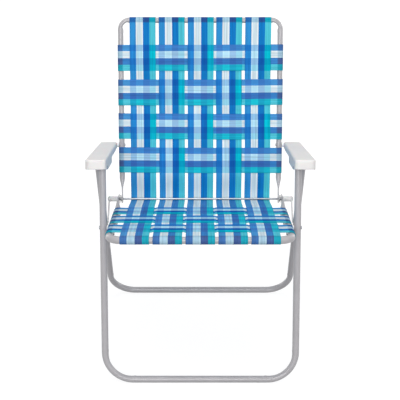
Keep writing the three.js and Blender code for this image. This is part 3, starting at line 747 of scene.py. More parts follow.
# %% Two arms
SIDES = (("left", -1), ("right", 1))
PIN_HOLE = 8.6 * MM
DRILL_BEFORE = 2 * MM
DRILL_PAST = 1 * MM
RIB_THICK = 1.8 * MM
RIB_COUNT = 4
RIB_SINK = 0.6 * MM
RIB_CLEAR = 13 * MM


def to_arm(points, side):
    """Arm coordinates to the frame, on the given side."""
    across = side * (arm_in + points[..., 0])
    return arm_pivot + across[..., None] * X + points[..., 1:2] * arm_along + points[..., 2:3] * arm_up


def round_bar(centre, radius, x0, x1, count=32):
    """A closed bar along X between two places."""
    turn = np.linspace(0, 2 * np.pi, count, endpoint=False)[:, None]
    ring = centre + radius * (np.cos(turn) * seat_back + np.sin(turn) * seat_out)
    return closed(np.stack([ring + x0 * X, ring + x1 * X]))


def arm_rib(along):
    """A cross rib under the top, from wall to wall, a little sunk into both and into the ceiling."""
    x = np.array([ARM_WALL - RIB_SINK, arm_wide(along) - ARM_WALL + RIB_SINK])
    y = along + RIB_THICK / 2 * np.array([-1, 1])
    corners = np.array([(x[0], y[0]), (x[1], y[0]), (x[1], y[1]), (x[0], y[1])])
    heights = (ARM_TOP - ARM_WALL + RIB_SINK, rim_at(along) + 2 * RIB_THICK)
    return closed(np.stack([np.column_stack([corners, up + np.zeros(4)]) for up in heights]))


rib_places = np.linspace(lobe_end + 2 * RIB_CLEAR, block - RIB_CLEAR, RIB_COUNT)
drill_x = (arm_in - DRILL_BEFORE, arm_in + ARM_WALL + DRILL_PAST)
for tag, side in SIDES:
    arm = place(f"arm_rest_{tag}", [to_arm(rings, side)])
    cut(arm, [round_bar(point, PIN_HOLE / 2, side * drill_x[0], side * drill_x[1])
              for point in (arm_pivot, rear_pivot)])
    dress(arm, ARM_PLASTIC, f"arm_{tag}")
    ribs = place(f"arm_ribs_{tag}", [to_arm(arm_rib(y), side) for y in rib_places])
    dress(ribs, ARM_PLASTIC, body=f"{tag}_arm")
    print("arm", tag, len(arm.data.polygons), "faces,", RIB_COUNT, "ribs")

# %% [markdown]
# ## Small hardware finishes
# Rod, rivets, pins and screws are zinc-plated steel: bright, a little blue, with fine lines left by
# drawing and turning, which break up what it mirrors. The lines could be cut into the mesh, but a noise
# that is stretched round the axis costs no faces. Bushes, spacers and stays are white nylon, glossier
# than the arms. The star washers are a dark moulded plastic.

# %% Zinc plate, nylon and dark plastic
# Line sizes are in millimetres. Real drawing lines are a tenth as wide and are drawn coarser, to show.
ZINC_TONES = ("#ABAEB3", "#8A8E94")
LINE_WIDE = 0.7
LINE_LONG = 50 / 3


def zinc_plate():
    """Plated steel: two tones mixed by streaks that run round the piece, which also vary the gloss."""
    material, tree = blank("zinc_plated_steel")
    where = add(tree, "ShaderNodeTexCoord").outputs["Object"]
    stretch = add(tree, "ShaderNodeMapping", {
        "Vector": where, "Scale": (1000 / LINE_WIDE, 1000 / LINE_LONG, 1000 / LINE_LONG)})
    lines = add(tree, "ShaderNodeTexNoise", {"Vector": stretch.outputs[0], "Scale": 1.0, "Detail": 4.0})
    tint = add(tree, "ShaderNodeMix", {
        0: lines.outputs["Fac"], 6: linear(ZINC_TONES[0]), 7: linear(ZINC_TONES[1])}, data_type="RGBA")
    rough = add(tree, "ShaderNodeMapRange", {
        "Value": lines.outputs["Fac"], "To Min": 0.22, "To Max": 0.40})
    bump = add(tree, "ShaderNodeBump", {
        "Height": lines.outputs["Fac"], "Strength": 0.1, "Distance": 0.1 * MM})
    shader = add(tree, "ShaderNodeBsdfPrincipled", {
        "Base Color": tint.outputs[2], "Roughness": rough.outputs[0], "Normal": bump.outputs[0],
        "Metallic": 1.0})
    add(tree, "ShaderNodeOutputMaterial", {"Surface": shader.outputs[0]})
    return material, "zinc_plate"


ZINC = zinc_plate()
NYLON = moulded("moulded_white_nylon", "#F1F1F1", "#E8E8EA", "white_nylon", 0.36, 0.4)
DARK_PLASTIC = moulded("moulded_black_plastic", "#2A2A2C", "#1A1A1C", "dark_washer", 0.45, 0.4)
print("finishes:", [finish[0].name for finish in (ZINC, NYLON, DARK_PLASTIC)])

# %% [markdown]
# ## Turned pieces
# Rivets, bushes, spacers, pins, caps and the hinge rod are all turned: a profile of radius and distance,
# swept round an axis. A bevelled cylinder would do for a pin, but not for a domed head or a waist, and one
# sweep serves them all. Corners of a profile are rounded with small arcs, because no real edge is sharp
# and the arc is what catches the light.

# %% Sweeping a profile
TURNED = 48
ARC_STEPS = 6
ARC_SHARE = 0.45
# Rings start from a direction that no axis here shares.
OFF_AXIS = leg_up + 0.3 * X


def rounded(profile, radius, loop=False):
    """The profile with each corner replaced by a curve that starts and ends radius away from it."""
    points = np.array(profile, float)
    before = np.roll(points, 1, axis=0)
    after = np.roll(points, -1, axis=0)
    reach_in = np.linalg.norm(before - points, axis=1, keepdims=True)
    reach_out = np.linalg.norm(after - points, axis=1, keepdims=True)
    start = points + (before - points) * np.minimum(radius / reach_in, ARC_SHARE)
    end = points + (after - points) * np.minimum(radius / reach_out, ARC_SHARE)
    t = np.linspace(0, 1, ARC_STEPS)[None, :, None]
    curves = (1 - t) ** 2 * start[:, None] + 2 * t * (1 - t) * points[:, None] + t ** 2 * end[:, None]
    if loop:
        line = curves.reshape(-1, 2)
        return np.vstack([line, line[:1]])
    return np.vstack([points[:1], curves[1:-1].reshape(-1, 2), points[-1:]])


def swept(profile, origin, axis, sides=TURNED, shape=None):
    """Points origin + distance along the axis + radius round it; shape scales the radius by angle."""
    first = unit(np.cross(axis, OFF_AXIS))
    second = np.cross(axis, first)
    turn = np.linspace(0, 2 * np.pi, sides, endpoint=False)
    way = np.cos(turn)[:, None] * first + np.sin(turn)[:, None] * second
    radius = profile[:, :1] * (np.ones(sides) if shape is None else shape(turn))
    return origin + profile[:, 1, None, None] * axis + radius[..., None] * way


print("a turned piece has", TURNED, "points round it")

# %% [markdown]
# Each kind of piece has a profile that depends on its length. A maker takes the radii once and gives
# back the function from length to profile.

# %% Profiles of rivets and pins
HEAD_R = 5.5 * MM
HEAD_HIGH = 1.8 * MM
HEAD_STEPS = 8
RIVET_R = 3 * MM
PIN_EDGE = 0.7 * MM


def dome(base, way):
    """A low rivet head as a quarter ellipse from the axis to its rim; way is -1 or 1 along the axis."""
    turn = np.radians(np.linspace(0, 90, HEAD_STEPS))
    curve = np.column_stack([HEAD_R * np.sin(turn), base + way * HEAD_HIGH * np.cos(turn)])
    return curve if way < 0 else curve[::-1]


def rivet(long):
    """Domed heads at both ends of a shank."""
    low, high = HEAD_HIGH, long - HEAD_HIGH
    return np.vstack([dome(low, -1), [(RIVET_R, low), (RIVET_R, high)], dome(high, 1)])


def headed(radius, seat):
    """A profile maker for a pin with one domed head, its rim at seat, and a plain end."""
    return lambda long: np.vstack([dome(seat, -1), [(radius, seat), (radius, long), (0, long)]])


def pin(radius):
    """A profile maker for a pin with broken edges."""
    return lambda long: rounded([(0, 0), (radius, 0), (radius, long), (0, long)], PIN_EDGE)


print("a rivet head is", round(2 * HEAD_R / MM), "mm across")

# %% [markdown]
# Rings, sleeves and caps have a hole, so their profile is a loop that comes back to its start and needs
# no rows to close its ends.

# %% Profiles of rings, sleeves and caps
SLEEVE_COLLAR = 3.2 * MM
SLEEVE_SLOPE = 0.8 * MM
SLEEVE_WAIST = 0.5 * MM
CAP_BRIM = 0.9 * MM
CAP_STEP = 1.2 * MM
CAP_RING = (0.72, 0.66)
CAP_EDGE = 0.35 * MM


def tube_piece(hole, radius, soft):
    """A profile maker for a plain ring or sleeve."""
    return lambda long: rounded([(hole, 0), (radius, 0), (radius, long), (hole, long)], soft, loop=True)


def sleeve(hole, radius):
    """A profile maker for a moulded spacer: a shallow waist between two collars."""
    slope = SLEEVE_COLLAR + SLEEVE_SLOPE
    waist = radius - SLEEVE_WAIST
    return lambda long: rounded([
        (hole, 0), (radius, 0), (radius, SLEEVE_COLLAR), (waist, slope), (waist, long - slope),
        (radius, long - SLEEVE_COLLAR), (radius, long), (hole, long)], SLEEVE_WAIST, loop=True)


def cap(hole, radius):
    """A profile maker for a push-on cap: a flat brim with a raised ring round the rod."""
    foot, top = (radius * share for share in CAP_RING)
    return lambda long: rounded([
        (hole, 0), (radius, 0), (radius, CAP_BRIM), (foot, CAP_STEP), (top, long), (hole, long)],
        CAP_EDGE, loop=True)


print("a sleeve's collars are", round(SLEEVE_COLLAR / MM, 1), "mm long")

# %% [markdown]
# Each piece takes its ends and its centre from the node it stands for, and is swept outwards from the
# end nearest the middle of the chair.

# %% Hardware in place
ROD_R = 3.2 * MM
ROD_HOLE = ROD_R + GAP
RIVET_HOLE = RIVET_R + GAP
PIN_R = 4 * MM
PIN_UNDER_WALL = 0.2 * MM
BUSH_R = 7 * MM
BUSH_EDGE = 0.6 * MM
SPACER_R = 8.25 * MM
CAP_R = 7 * MM
HARDWARE = {
    "seat_rivet": (rivet, ZINC),
    "seat_bush": (tube_piece(RIVET_HOLE, BUSH_R, BUSH_EDGE), NYLON),
    "arm_front_pin": (headed(PIN_R, -PIN_UNDER_WALL), ZINC),
    "rear_leg_pin": (pin(PIN_R), ZINC),
    "back_rivet": (headed(RIVET_R, HEAD_HIGH), ZINC),
    "back_spacer": (tube_piece(RIVET_HOLE, BUSH_R, BUSH_EDGE), NYLON),
    "rod_spacer": (sleeve(ROD_HOLE, SPACER_R), NYLON),
    "rod_cap": (cap(ROD_HOLE, CAP_R), ZINC),
    "stay_pin": (pin(RIVET_R), ZINC),
}


def turned(node, maker, finish):
    """A swept piece in place of a node, from the end nearest the middle of the chair outwards."""
    low, high = (np.array(corner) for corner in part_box(node))
    centre = (low + high) / 2
    side = np.sign(centre[0]) if abs(centre[0]) > MERGE else 1
    inner = centre * (0, 1, 1) + X * (low[0] if side > 0 else high[0])
    grid = swept(maker(high[0] - low[0]), inner, side * X)
    return dress(place(f"{node}_turned", [grid]), finish, node)


for name, (maker, finish) in HARDWARE.items():
    for tag, side in SIDES:
        turned(f"{name}_{tag}", maker, finish)
turned("hinge_rod", pin(ROD_R), ZINC)
print("turned pieces:", 2 * len(HARDWARE) + 1)

# %% [markdown]
# ## Star washers
# Between each back end and seat end sits a star washer of dark moulded plastic. Its prongs lean out
# alternately to one side and the other, which keeps the hinge from rattling. Prongs could be joined to a
# ring one by one, but radius and lean are both functions of the angle, so one grid makes the whole star
# without a seam. A short plated collar keeps the tabs apart.

# %% Star washers on the rod
PRONGS = 8
PRONG_STEPS = 24
PRONG_EDGE = 1.6
PRONG_ROOT = 0.12
STAR_R = 11 * MM
STAR_HUB = 6.4 * MM
STAR_HOLE = 4.8 * MM
STAR_THICK = 0.8 * MM
STAR_LEAN = 1.0 * MM
STAR_ROWS = 9
COLLAR_R = 4.6 * MM
COLLAR_EDGE = 0.4 * MM


def star(origin, side):
    """A disc whose rim is drawn in between the prongs and leans to and fro along the axis."""
    turn = np.linspace(0, 2 * np.pi, PRONG_STEPS * PRONGS, endpoint=False)
    prong = smooth(0.5 + PRONG_EDGE * np.cos(PRONGS * turn))
    rim_r = STAR_HUB + (STAR_R - STAR_HUB) * (PRONG_ROOT + (1 - PRONG_ROOT) * prong)
    lean = STAR_LEAN * np.sin(PRONGS / 2 * turn + np.pi / 4) * np.sqrt(2)
    out = np.concatenate([np.linspace(0, 1, STAR_ROWS), np.linspace(1, 0, STAR_ROWS)])[:, None]
    face = np.repeat([-0.5, 0.5], STAR_ROWS)[:, None] * STAR_THICK
    radius = STAR_HOLE + (rim_r - STAR_HOLE) * out
    bent = np.clip((radius - STAR_HUB) / (STAR_R - STAR_HUB), 0, 1)
    along = face + lean * bent
    grid = (origin + side * along[..., None] * X + radius[..., None]
            * (np.cos(turn)[:, None] * seat_back + np.sin(turn)[:, None] * seat_out))
    return np.concatenate([grid, grid[:1]])


collar = tube_piece(ROD_HOLE, COLLAR_R, COLLAR_EDGE)(WASHER_LONG)
for tag, side in SIDES:
    node = f"hinge_washer_{tag}"
    low, high = (np.array(corner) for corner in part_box(node))
    middle = (low + high) / 2
    inner_x = min(low[0], high[0], key=abs)
    dress(place(f"star_washer_{tag}", [star(middle, side)]), DARK_PLASTIC, node)
    ring = swept(collar, middle * (0, 1, 1) + inner_x * X, side * X)
    dress(place(f"hinge_collar_{tag}", [ring]), ZINC, body=body_of[node])
print("star washers: 2, with", PRONGS, "prongs each")

# %% [markdown]
# ## Stays
# A stay is a flat bar with round ends, moulded in the same white nylon as the spacers. It hangs from the
# rod and its pin runs in the slot of the rear leg. A plate with a Bevel modifier would look the same.
# Rings of one stadium shape, drawn in at both faces, give the broken edges without one. The first ring
# and the last are drawn in to the middle line.

# %% Stays
STAY_R = 9 * MM
STAY_EDGE = 0.7 * MM
STAY_EDGE_RINGS = 5

turns = np.radians(np.linspace(0, 90, STAY_EDGE_RINGS))
drawn_in = STAY_EDGE * (1 - np.sin(turns))
risen = STAY_EDGE * (1 - np.cos(turns))
insets = np.r_[STAY_R, drawn_in, risen, STAY_R]
depths = np.r_[0, risen, STAY_THICK - drawn_in, STAY_THICK]
for tag, side in SIDES:
    rows = [stadium(hinge, stay_pin, STAY_R - inset) + side * (stay_in + depth) * X
            for inset, depth in zip(insets, depths)]
    dress(place(f"stay_bar_{tag}", [np.stack(rows)]), NYLON, f"stay_{tag}")
print("stays:", round(np.linalg.norm(stay_pin - hinge) / MM), "mm between holes")

# %% [markdown]
# ## Striped webbing
# The webbing is woven polypropylene, 3 inches wide, with four stripes along it: blue, pale, royal blue
# and turquoise. It is thin enough for light to come through. One layer on its own looks light. Where two
# straps cross, the one behind tints the one in front, which makes a plaid. Over a tube, where no light
# comes through, it is darkest. A see-through material could do this with real light, but slowly and
# with much noise, so the finish paints this light and shade from where the straps lie. Each strap
# carries a vector on its points: its place across, its place along in millimetres, and a count that rises
# by one at each crossing, so that the finish knows where the strap behind lies and which stripe it shows.
# A second vector says where it lies on a tube, which is painted shade, where its heat-sealed ends are,
# whose darkness is partly painted shade, and where its ribs lie across the light and get a painted sheen.

# %% Stripe colours
STRAP_WIDE = 76.2 * MM
THROUGH = 0.5
CROSSING_SHARE = 0.5
STRIPE_ENDS = (0.0, 0.24, 0.30, 0.45, 0.51, 0.76)
# The one-layer and two-layer colours hold painted light through the cloth; over a tube they are painted
# shade.
ONE_LAYER = ("#308ACA", "#DFE7E8", "#C8DAE3", "#DFE7E8", "#1074BC", "#4CBDCF")
TWO_LAYERS = ("#2A8CD5", "#C8ECF9", "#BEE7F7", "#C8ECF9", "#1470BE", "#00C5D6")
OVER_TUBE = ("#2360A2", "#A2C4D5", "#9ABDD1", "#A2C4D5", "#264B8A", "#0D98AF")
# A painted sheen: a little pale tint where the ribs lie across the light.
PAINTED_SHEEN = 0.035
SHEEN_TINTS = ((0.0, "#FFFFFF"), (STRIPE_ENDS[-1], "#95FFFF"))


def stripe_colour(tree, across, count, on_tube, sheen_share):
    """Stripes by place across: one layer, or two tinted by the stripe behind, both holding painted light
    that comes through the cloth, or painted shade over a tube, and then a little painted sheen. The place
    on the strap behind is the fraction of the count, stretched to 0..1."""
    part = add(tree, "ShaderNodeMath", {0: count}, operation="FRACT")
    behind = add(tree, "ShaderNodeMath", {
        0: part.outputs[0], 1: 1 / CROSSING_SHARE, 2: 0.5 - 0.5 / CROSSING_SHARE},
        operation="MULTIPLY_ADD").outputs[0]
    crossed = add(tree, "ShaderNodeMath", {0: behind, 1: 0.5, 2: 0.5}, operation="COMPARE")
    bands = ((across, ONE_LAYER), (across, TWO_LAYERS), (behind, ONE_LAYER), (across, OVER_TUBE))
    one, two, far, over_tube_shade = (
        add(tree, "ShaderNodeValToRGB", {0: where}, stops=tuple(zip(STRIPE_ENDS, tones))).outputs[0]
        for where, tones in bands)
    tint = add(tree, "ShaderNodeMix", {0: THROUGH, 6: WHITE, 7: far}, data_type="RGBA")
    plaid = add(tree, "ShaderNodeMix", {0: 1.0, 6: two, 7: tint.outputs[2]},
                data_type="RGBA", blend_type="MULTIPLY")
    cloth = add(tree, "ShaderNodeMix", {0: crossed.outputs[0], 6: one, 7: plaid.outputs[2]},
                data_type="RGBA")
    # Over a tube the colour turns to painted shade, as no light comes through from behind.
    colour = add(tree, "ShaderNodeMix", {0: on_tube, 6: cloth.outputs[2], 7: over_tube_shade}, data_type="RGBA")
    # A little pale tint is mixed in as painted sheen where the ribs catch the light.
    sheen = add(tree, "ShaderNodeMath", {0: sheen_share, 1: PAINTED_SHEEN}, operation="MULTIPLY")
    pale = add(tree, "ShaderNodeValToRGB", {0: across}, stops=SHEEN_TINTS)
    return add(tree, "ShaderNodeMix", {
        0: sheen.outputs[0], 6: colour.outputs[2], 7: pale.outputs[0]}, data_type="RGBA").outputs[2]


print("webbing:", len(STRIPE_ENDS), "bands over", round(STRAP_WIDE / MM, 1), "mm")

# %% [markdown]
# The weave itself is a relief of ribs along the strap, broken by the weft, and a shade: tapes that vary
# a little, painted shade in the grooves and painted highlight on the ridges, a darker selvedge at each
# edge, and dark heat-sealed ends, whose darkness is partly painted shade. Threads could be woven as
# meshes, but would take millions of faces, so two sine waves make the relief.

# %% Weave
# Pattern sizes are in millimetres. Real tapes are about 1.3 mm wide and are drawn coarser, to show.
RIB = 3.8
WEFT = 3.0
STREAK_LONG = 160
SELVEDGE = 1.4
SELVEDGE_SHADE = 0.86
TAIL_SHADE = 0.3
wide_mm = STRAP_WIDE / MM


def weave_relief(tree, across, along):
    """Height of the weave: the sine of the ribs plus that sine times the sine of the weft."""
    waves = []
    for where, per_unit in ((across, wide_mm / RIB), (along, 1 / WEFT)):
        turn = add(tree, "ShaderNodeMath", {0: where, 1: 2 * np.pi * per_unit}, operation="MULTIPLY")
        waves.append(add(tree, "ShaderNodeMath", {0: turn.outputs[0]}, operation="SINE").outputs[0])
    ribs, weft = waves
    return add(tree, "ShaderNodeMath", {0: ribs, 1: weft, 2: ribs}, operation="MULTIPLY_ADD").outputs[0]


def weave_shade(tree, across, along, relief, tail):
    """Product of four shades: tape streaks, painted shade and highlight on the relief, selvedges and dark
    ends.
    """
    grain = add(tree, "ShaderNodeCombineXYZ", {
        0: add(tree, "ShaderNodeMath", {0: across, 1: wide_mm / RIB}, operation="MULTIPLY").outputs[0],
        1: add(tree, "ShaderNodeMath", {0: along, 1: 1 / STREAK_LONG}, operation="MULTIPLY").outputs[0]})
    streak = add(tree, "ShaderNodeTexNoise", {"Vector": grain.outputs[0], "Scale": 1.0, "Detail": 3.0})
    edge = add(tree, "ShaderNodeMath", {
        0: across, 1: 0.5, 2: 0.5 - SELVEDGE / wide_mm}, operation="COMPARE")
    tapes = add(tree, "ShaderNodeMapRange", {
        "Value": streak.outputs["Fac"], "From Min": 0.3, "From Max": 0.7, "To Min": 0.82, "To Max": 1.12})
    # Low parts of the relief are painted shade and high parts a painted highlight.
    groove_shade = add(tree, "ShaderNodeMapRange", {
        "Value": relief, "From Min": -2.0, "From Max": 2.0, "To Min": 0.92, "To Max": 1.05})
    side = add(tree, "ShaderNodeMapRange", {
        "Value": edge.outputs[0], "To Min": SELVEDGE_SHADE, "To Max": 1.0})
    # The last stretch of each end is darker: it is sealed, and it is also painted shade under the tube.
    sealed_and_shaded = add(tree, "ShaderNodeMapRange", {"Value": tail, "To Min": 1.0, "To Max": TAIL_SHADE})
    level = tapes.outputs[0]
    for shade in (groove_shade, side, sealed_and_shaded):
        product = add(tree, "ShaderNodeMath", {0: level, 1: shade.outputs[0]}, operation="MULTIPLY")
        level = product.outputs[0]
    return add(tree, "ShaderNodeCombineXYZ", {0: level, 1: level, 2: level}).outputs[0]


print("a strap is drawn with", round(wide_mm / RIB), "ribs")

# %% [markdown]
# The finish puts these together: the stripes' colour times the weave's shade, with the relief as a bump.
# Its gloss is low, because ribs scatter the light.

# %% Webbing finish
def webbing():
    """Stripe colour times weave shade, with the weave's relief as a bump."""
    material, tree = blank("woven_polypropylene_webbing")
    strap = add(tree, "ShaderNodeAttribute", attribute_name="strap")
    across, along, count = add(tree, "ShaderNodeSeparateXYZ", {0: strap.outputs["Vector"]}).outputs
    backing = add(tree, "ShaderNodeAttribute", attribute_name="backing")
    on_tube, tail, sheen_share = add(tree, "ShaderNodeSeparateXYZ", {0: backing.outputs["Vector"]}).outputs
    colour = stripe_colour(tree, across, count, on_tube, sheen_share)
    relief = weave_relief(tree, across, along)
    shade = weave_shade(tree, across, along, relief, tail)
    woven = add(tree, "ShaderNodeMix", {0: 1.0, 6: colour, 7: shade},
                data_type="RGBA", blend_type="MULTIPLY")
    bump = add(tree, "ShaderNodeBump", {"Height": relief, "Strength": 0.25, "Distance": 0.15 * MM})
    shader = add(tree, "ShaderNodeBsdfPrincipled", {
        "Base Color": woven.outputs[2], "Normal": bump.outputs[0], "Roughness": 0.52,
        "IOR": 1.49, "Specular IOR Level": 0.03})
    add(tree, "ShaderNodeOutputMaterial", {"Surface": shader.outputs[0]})
    return material, "striped_webbing"


WEBBING = webbing()
print("finish:", WEBBING[0].name, len(WEBBING[0].node_tree.nodes), "nodes")

# %% [markdown]
# ## Straps
# A strap is a flat ribbon carried along a line seen from the side. A cloth simulation could pull the
# straps tight, but would take long and leave them a little off the tubes. Here the line is made of arcs
# round the tubes and of straight runs that ease up and down between the crossings, over one strap and
# under the next.

# %% Lines of the straps
SOLID_THICK = 1.2 * MM
STEP = 4 * MM
CROSSING = STRAP_WIDE / 2 + 2 * MM
REPEAT = 0.01 * MM
weave = (SOLID_THICK + GAP) / 2


def arc(centre, radius, start, stop, step=7):
    """Points on an arc about a tube's centre, angles in degrees."""
    turn = np.radians(np.linspace(start, stop, int(abs(stop - start) / step) + 2))
    return np.column_stack([centre[0] + radius * np.cos(turn), centre[1] + radius * np.sin(turn)])


def run(knots, edges):
    """A straight run through knots of (place, height), eased between them, with a point at each edge."""
    places, heights = np.array(knots).T
    points = np.concatenate([np.arange(places[0], places[-1], STEP), places, edges])
    points = np.unique(np.round(points, 7))
    left = np.clip(np.searchsorted(places, points, side="right") - 1, 0, len(places) - 2)
    share = (points - places[left]) / (places[left + 1] - places[left])
    return np.column_stack([points, heights[left] + (heights[left + 1] - heights[left]) * smooth(share)])


def joined(*parts):
    """Lines end to end, without points that repeat."""
    line = np.vstack(parts)
    keep = np.r_[True, np.linalg.norm(np.diff(line, axis=0), axis=1) > REPEAT]
    return line[keep]


def lengths(line):
    """Distance along a line to each of its points: the running sum of its steps."""
    return np.r_[0, np.cumsum(np.linalg.norm(np.diff(line, axis=0), axis=1))]


print("a strap rises and falls by", round(weave / MM, 2), "mm at a crossing")

# %% [markdown]
# The ribbon has a thin section with round edges, and wanders sideways by about a millimetre, as webbing
# that was pulled tight by hand does. The random draws come from one seeded source, so that every run
# gives the same straps.

# %% Ribbons
STRAP_THICK = 1.0 * MM
ACROSS = 30
WANDER = 0.9 * MM
WANDER_WAVES = (190 * MM, 71 * MM)
PATTERN_SHIFT = 5000
CROSSING_LEAD = 8 * MM
TAIL_LONG = 9 * MM
FADE = 1.5 * MM
chance = np.random.default_rng(11)


def section():
    """The strap's cross section as a ring: two flat faces and two half-round edges."""
    flat = np.linspace(-1, 1, ACROSS)
    bulge = np.radians(np.linspace(-90, 90, 5))[1:-1]
    inset = STRAP_WIDE / 2 - STRAP_THICK / 2
    edge = inset + STRAP_THICK / 2 * np.cos(bulge)
    side = np.concatenate([inset * flat, edge, inset * flat[::-1], -edge])
    face = np.ones(ACROSS)
    high = STRAP_THICK / 2 * np.concatenate([-face, np.sin(bulge), face, np.sin(bulge[::-1])])
    return side, high


def ribbon(line, across, centre, edges, tubes, sheen_share):
    """Grid and point vectors of a strap along a line of 3-D points. edges are the distances along it where
    crossings start and end, tubes the distances before and after which it lies on a tube, and milky is
    how much its ribs catch the light, at each point of the line."""
    way = np.gradient(line, axis=0)
    way /= np.linalg.norm(way, axis=1, keepdims=True)
    normal = np.cross(way, across)
    far = lengths(line)
    side, high = section()
    phase = chance.uniform(0, 2 * np.pi, 2)
    waves = [np.sin(far / wave + start) for wave, start in zip(WANDER_WAVES, phase)]
    drift = WANDER * (waves[0] + 0.5 * waves[1])
    sideways = side[None, :] + drift[:, None]
    grid = centre + line[:, None] + sideways[..., None] * across + high[None, :, None] * normal[:, None]

    number = np.arange(len(edges))
    counts = number // 2 + np.where(number % 2, 1 + CROSSING_SHARE, 1 - CROSSING_SHARE) / 2
    count = np.interp(far, np.r_[edges[0] - CROSSING_LEAD, edges, edges[-1] + CROSSING_LEAD],
                      np.r_[0, counts, np.ceil(counts[-1])])
    along = far / MM + chance.uniform(0, PATTERN_SHIFT)
    strap = np.stack(np.broadcast_arrays(
        side[None, :] / STRAP_WIDE + 0.5, along[:, None], count[:, None]), axis=-1)
    tubed = np.maximum(smooth((tubes[0] - far) / FADE), smooth((far - tubes[1]) / FADE))
    tail = smooth((TAIL_LONG - np.minimum(far, far[-1] - far)) / FADE)
    sheen = np.broadcast_to(sheen_share, far.shape)
    backing = np.stack(np.broadcast_arrays(
        tubed[:, None] + 0 * side[None, :], tail[:, None], sheen[:, None]), axis=-1)
    vectors = {"strap": strap, "backing": backing}
    ended = {key: np.concatenate([v[:1], v, v[-1:]]) for key, v in vectors.items()}
    return closed(grid), ended, far[-1]


print("a strap has", len(section()[0]), "points round it")

# %% [markdown]
# Five long straps run from behind the top rail down the back, behind the rod and forward over the seat
# to the front rail. Four rows cross the back and three cross the seat. Rows are counted up from the rod
# and back from the front rail, and each stretch holds as many straps as fit.

# %% Rows and columns
COLUMN_GAP = 8 * MM
COLUMN_PAST_BEND = 8.2 * MM
ROW_GAP = 15 * MM
BACK_ROWS_UP = 26 * MM
BACK_ROWS_BELOW_BEND = 37 * MM
SEAT_ROW_EDGE = 0.6 * MM
SEAT_ROW_SET = 2.4 * MM


def spread(start, end, gap):
    """Strap centres spread evenly over a stretch, as many as fit with at least the given gap."""
    count = int((end - start + gap) / (STRAP_WIDE + gap))
    return np.linspace(start + STRAP_WIDE / 2, end - STRAP_WIDE / 2, count)


column_reach = min(seat_half - SEAT_BEND, back_half - BACK_BEND) + COLUMN_PAST_BEND
columns = spread(-column_reach, column_reach, COLUMN_GAP)
back_rows = spread(
    BACK_ROUND_FROM + BACK_ROWS_UP, BACK_HEIGHT - BACK_BEND - BACK_ROWS_BELOW_BEND, ROW_GAP)
seat_rows = np.concatenate([
    spread(SEAT_BEND + SEAT_ROW_EDGE, SEAT_NOSE - BUSH_R - SEAT_ROW_EDGE, ROW_GAP),
    spread(SEAT_NOSE + BUSH_R + SEAT_ROW_SET, seat_to_rod - SEAT_ROUND_FROM - SEAT_ROW_SET, ROW_GAP)])
print("columns at", np.round(columns / MM), "mm")
print("rows at", np.round(back_rows / MM), "mm on the back and", np.round(seat_rows / MM), "on the seat")

# %% [markdown]
# Straps cross by turns over and under, as in plain weaving. A crossing is known by the two places where
# the other strap starts and ends. The strap's line is raised or lowered between them, and the same places
# tell the finish where two layers lie.

# %% Crossings
def strap_high(radius):
    """Height of a strap's middle above the axis of the tube it lies on."""
    return radius + GAP + SOLID_THICK / 2


def both_edges(rows):
    """Where the straps of these rows start and end, in order."""
    return np.sort(np.concatenate([rows - STRAP_WIDE / 2, rows + STRAP_WIDE / 2]))


def edge_points(rows, line):
    """Places and heights on a line where the straps of these rows start and end."""
    edges = both_edges(rows)
    return np.column_stack([edges, np.interp(edges, *line.T)])


def overs(first, count):
    """Whether a strap goes over at each of its crossings: over and under by turns."""
    return [(first + number) % 2 == 0 for number in range(count)]


def knots_of(rows, high, over_each):
    """Two knots for each crossing, at its two ends, raised where the strap goes over."""
    return [(row + way * CROSSING, high + (weave if over else -weave))
            for row, over in zip(rows, over_each) for way in (-1, 1)]


def distances(line, parts):
    """Distances along a 3-D line of its points nearest the given ones."""
    near = np.linalg.norm(line[:, None] - parts[None], axis=2).argmin(axis=0)
    return np.sort(lengths(line)[near])


def in_plane(origin, along, out):
    """A function that takes rows of (place, height) to the frame: origin + place along + height out."""
    return lambda line: origin + line[:, :1] * along + line[:, 1:] * out


print("the middle of a strap lies", round(strap_high(BACK_R) / MM, 1), "mm off the back tube's axis")

# %% [markdown]
# The long straps cross the hinge. Each could be two pieces, one on the back and one on the seat, but the
# real one is a single strap. So it blends from the back to the seat round the rod.

# %% Long straps
ROD_RUN = 14 * MM
LONG_WRAP = 222
ROD_STEP = 4
turn_at_rod = np.degrees(np.arccos(seat_back @ leg_up))
back_high = strap_high(BACK_R)
seat_high = strap_high(SEAT_R)
rod_high = strap_high(ROD_R)
in_back = in_plane(hinge, leg_up, back_out)
in_seat = in_plane(seat_rail, seat_back, seat_out)

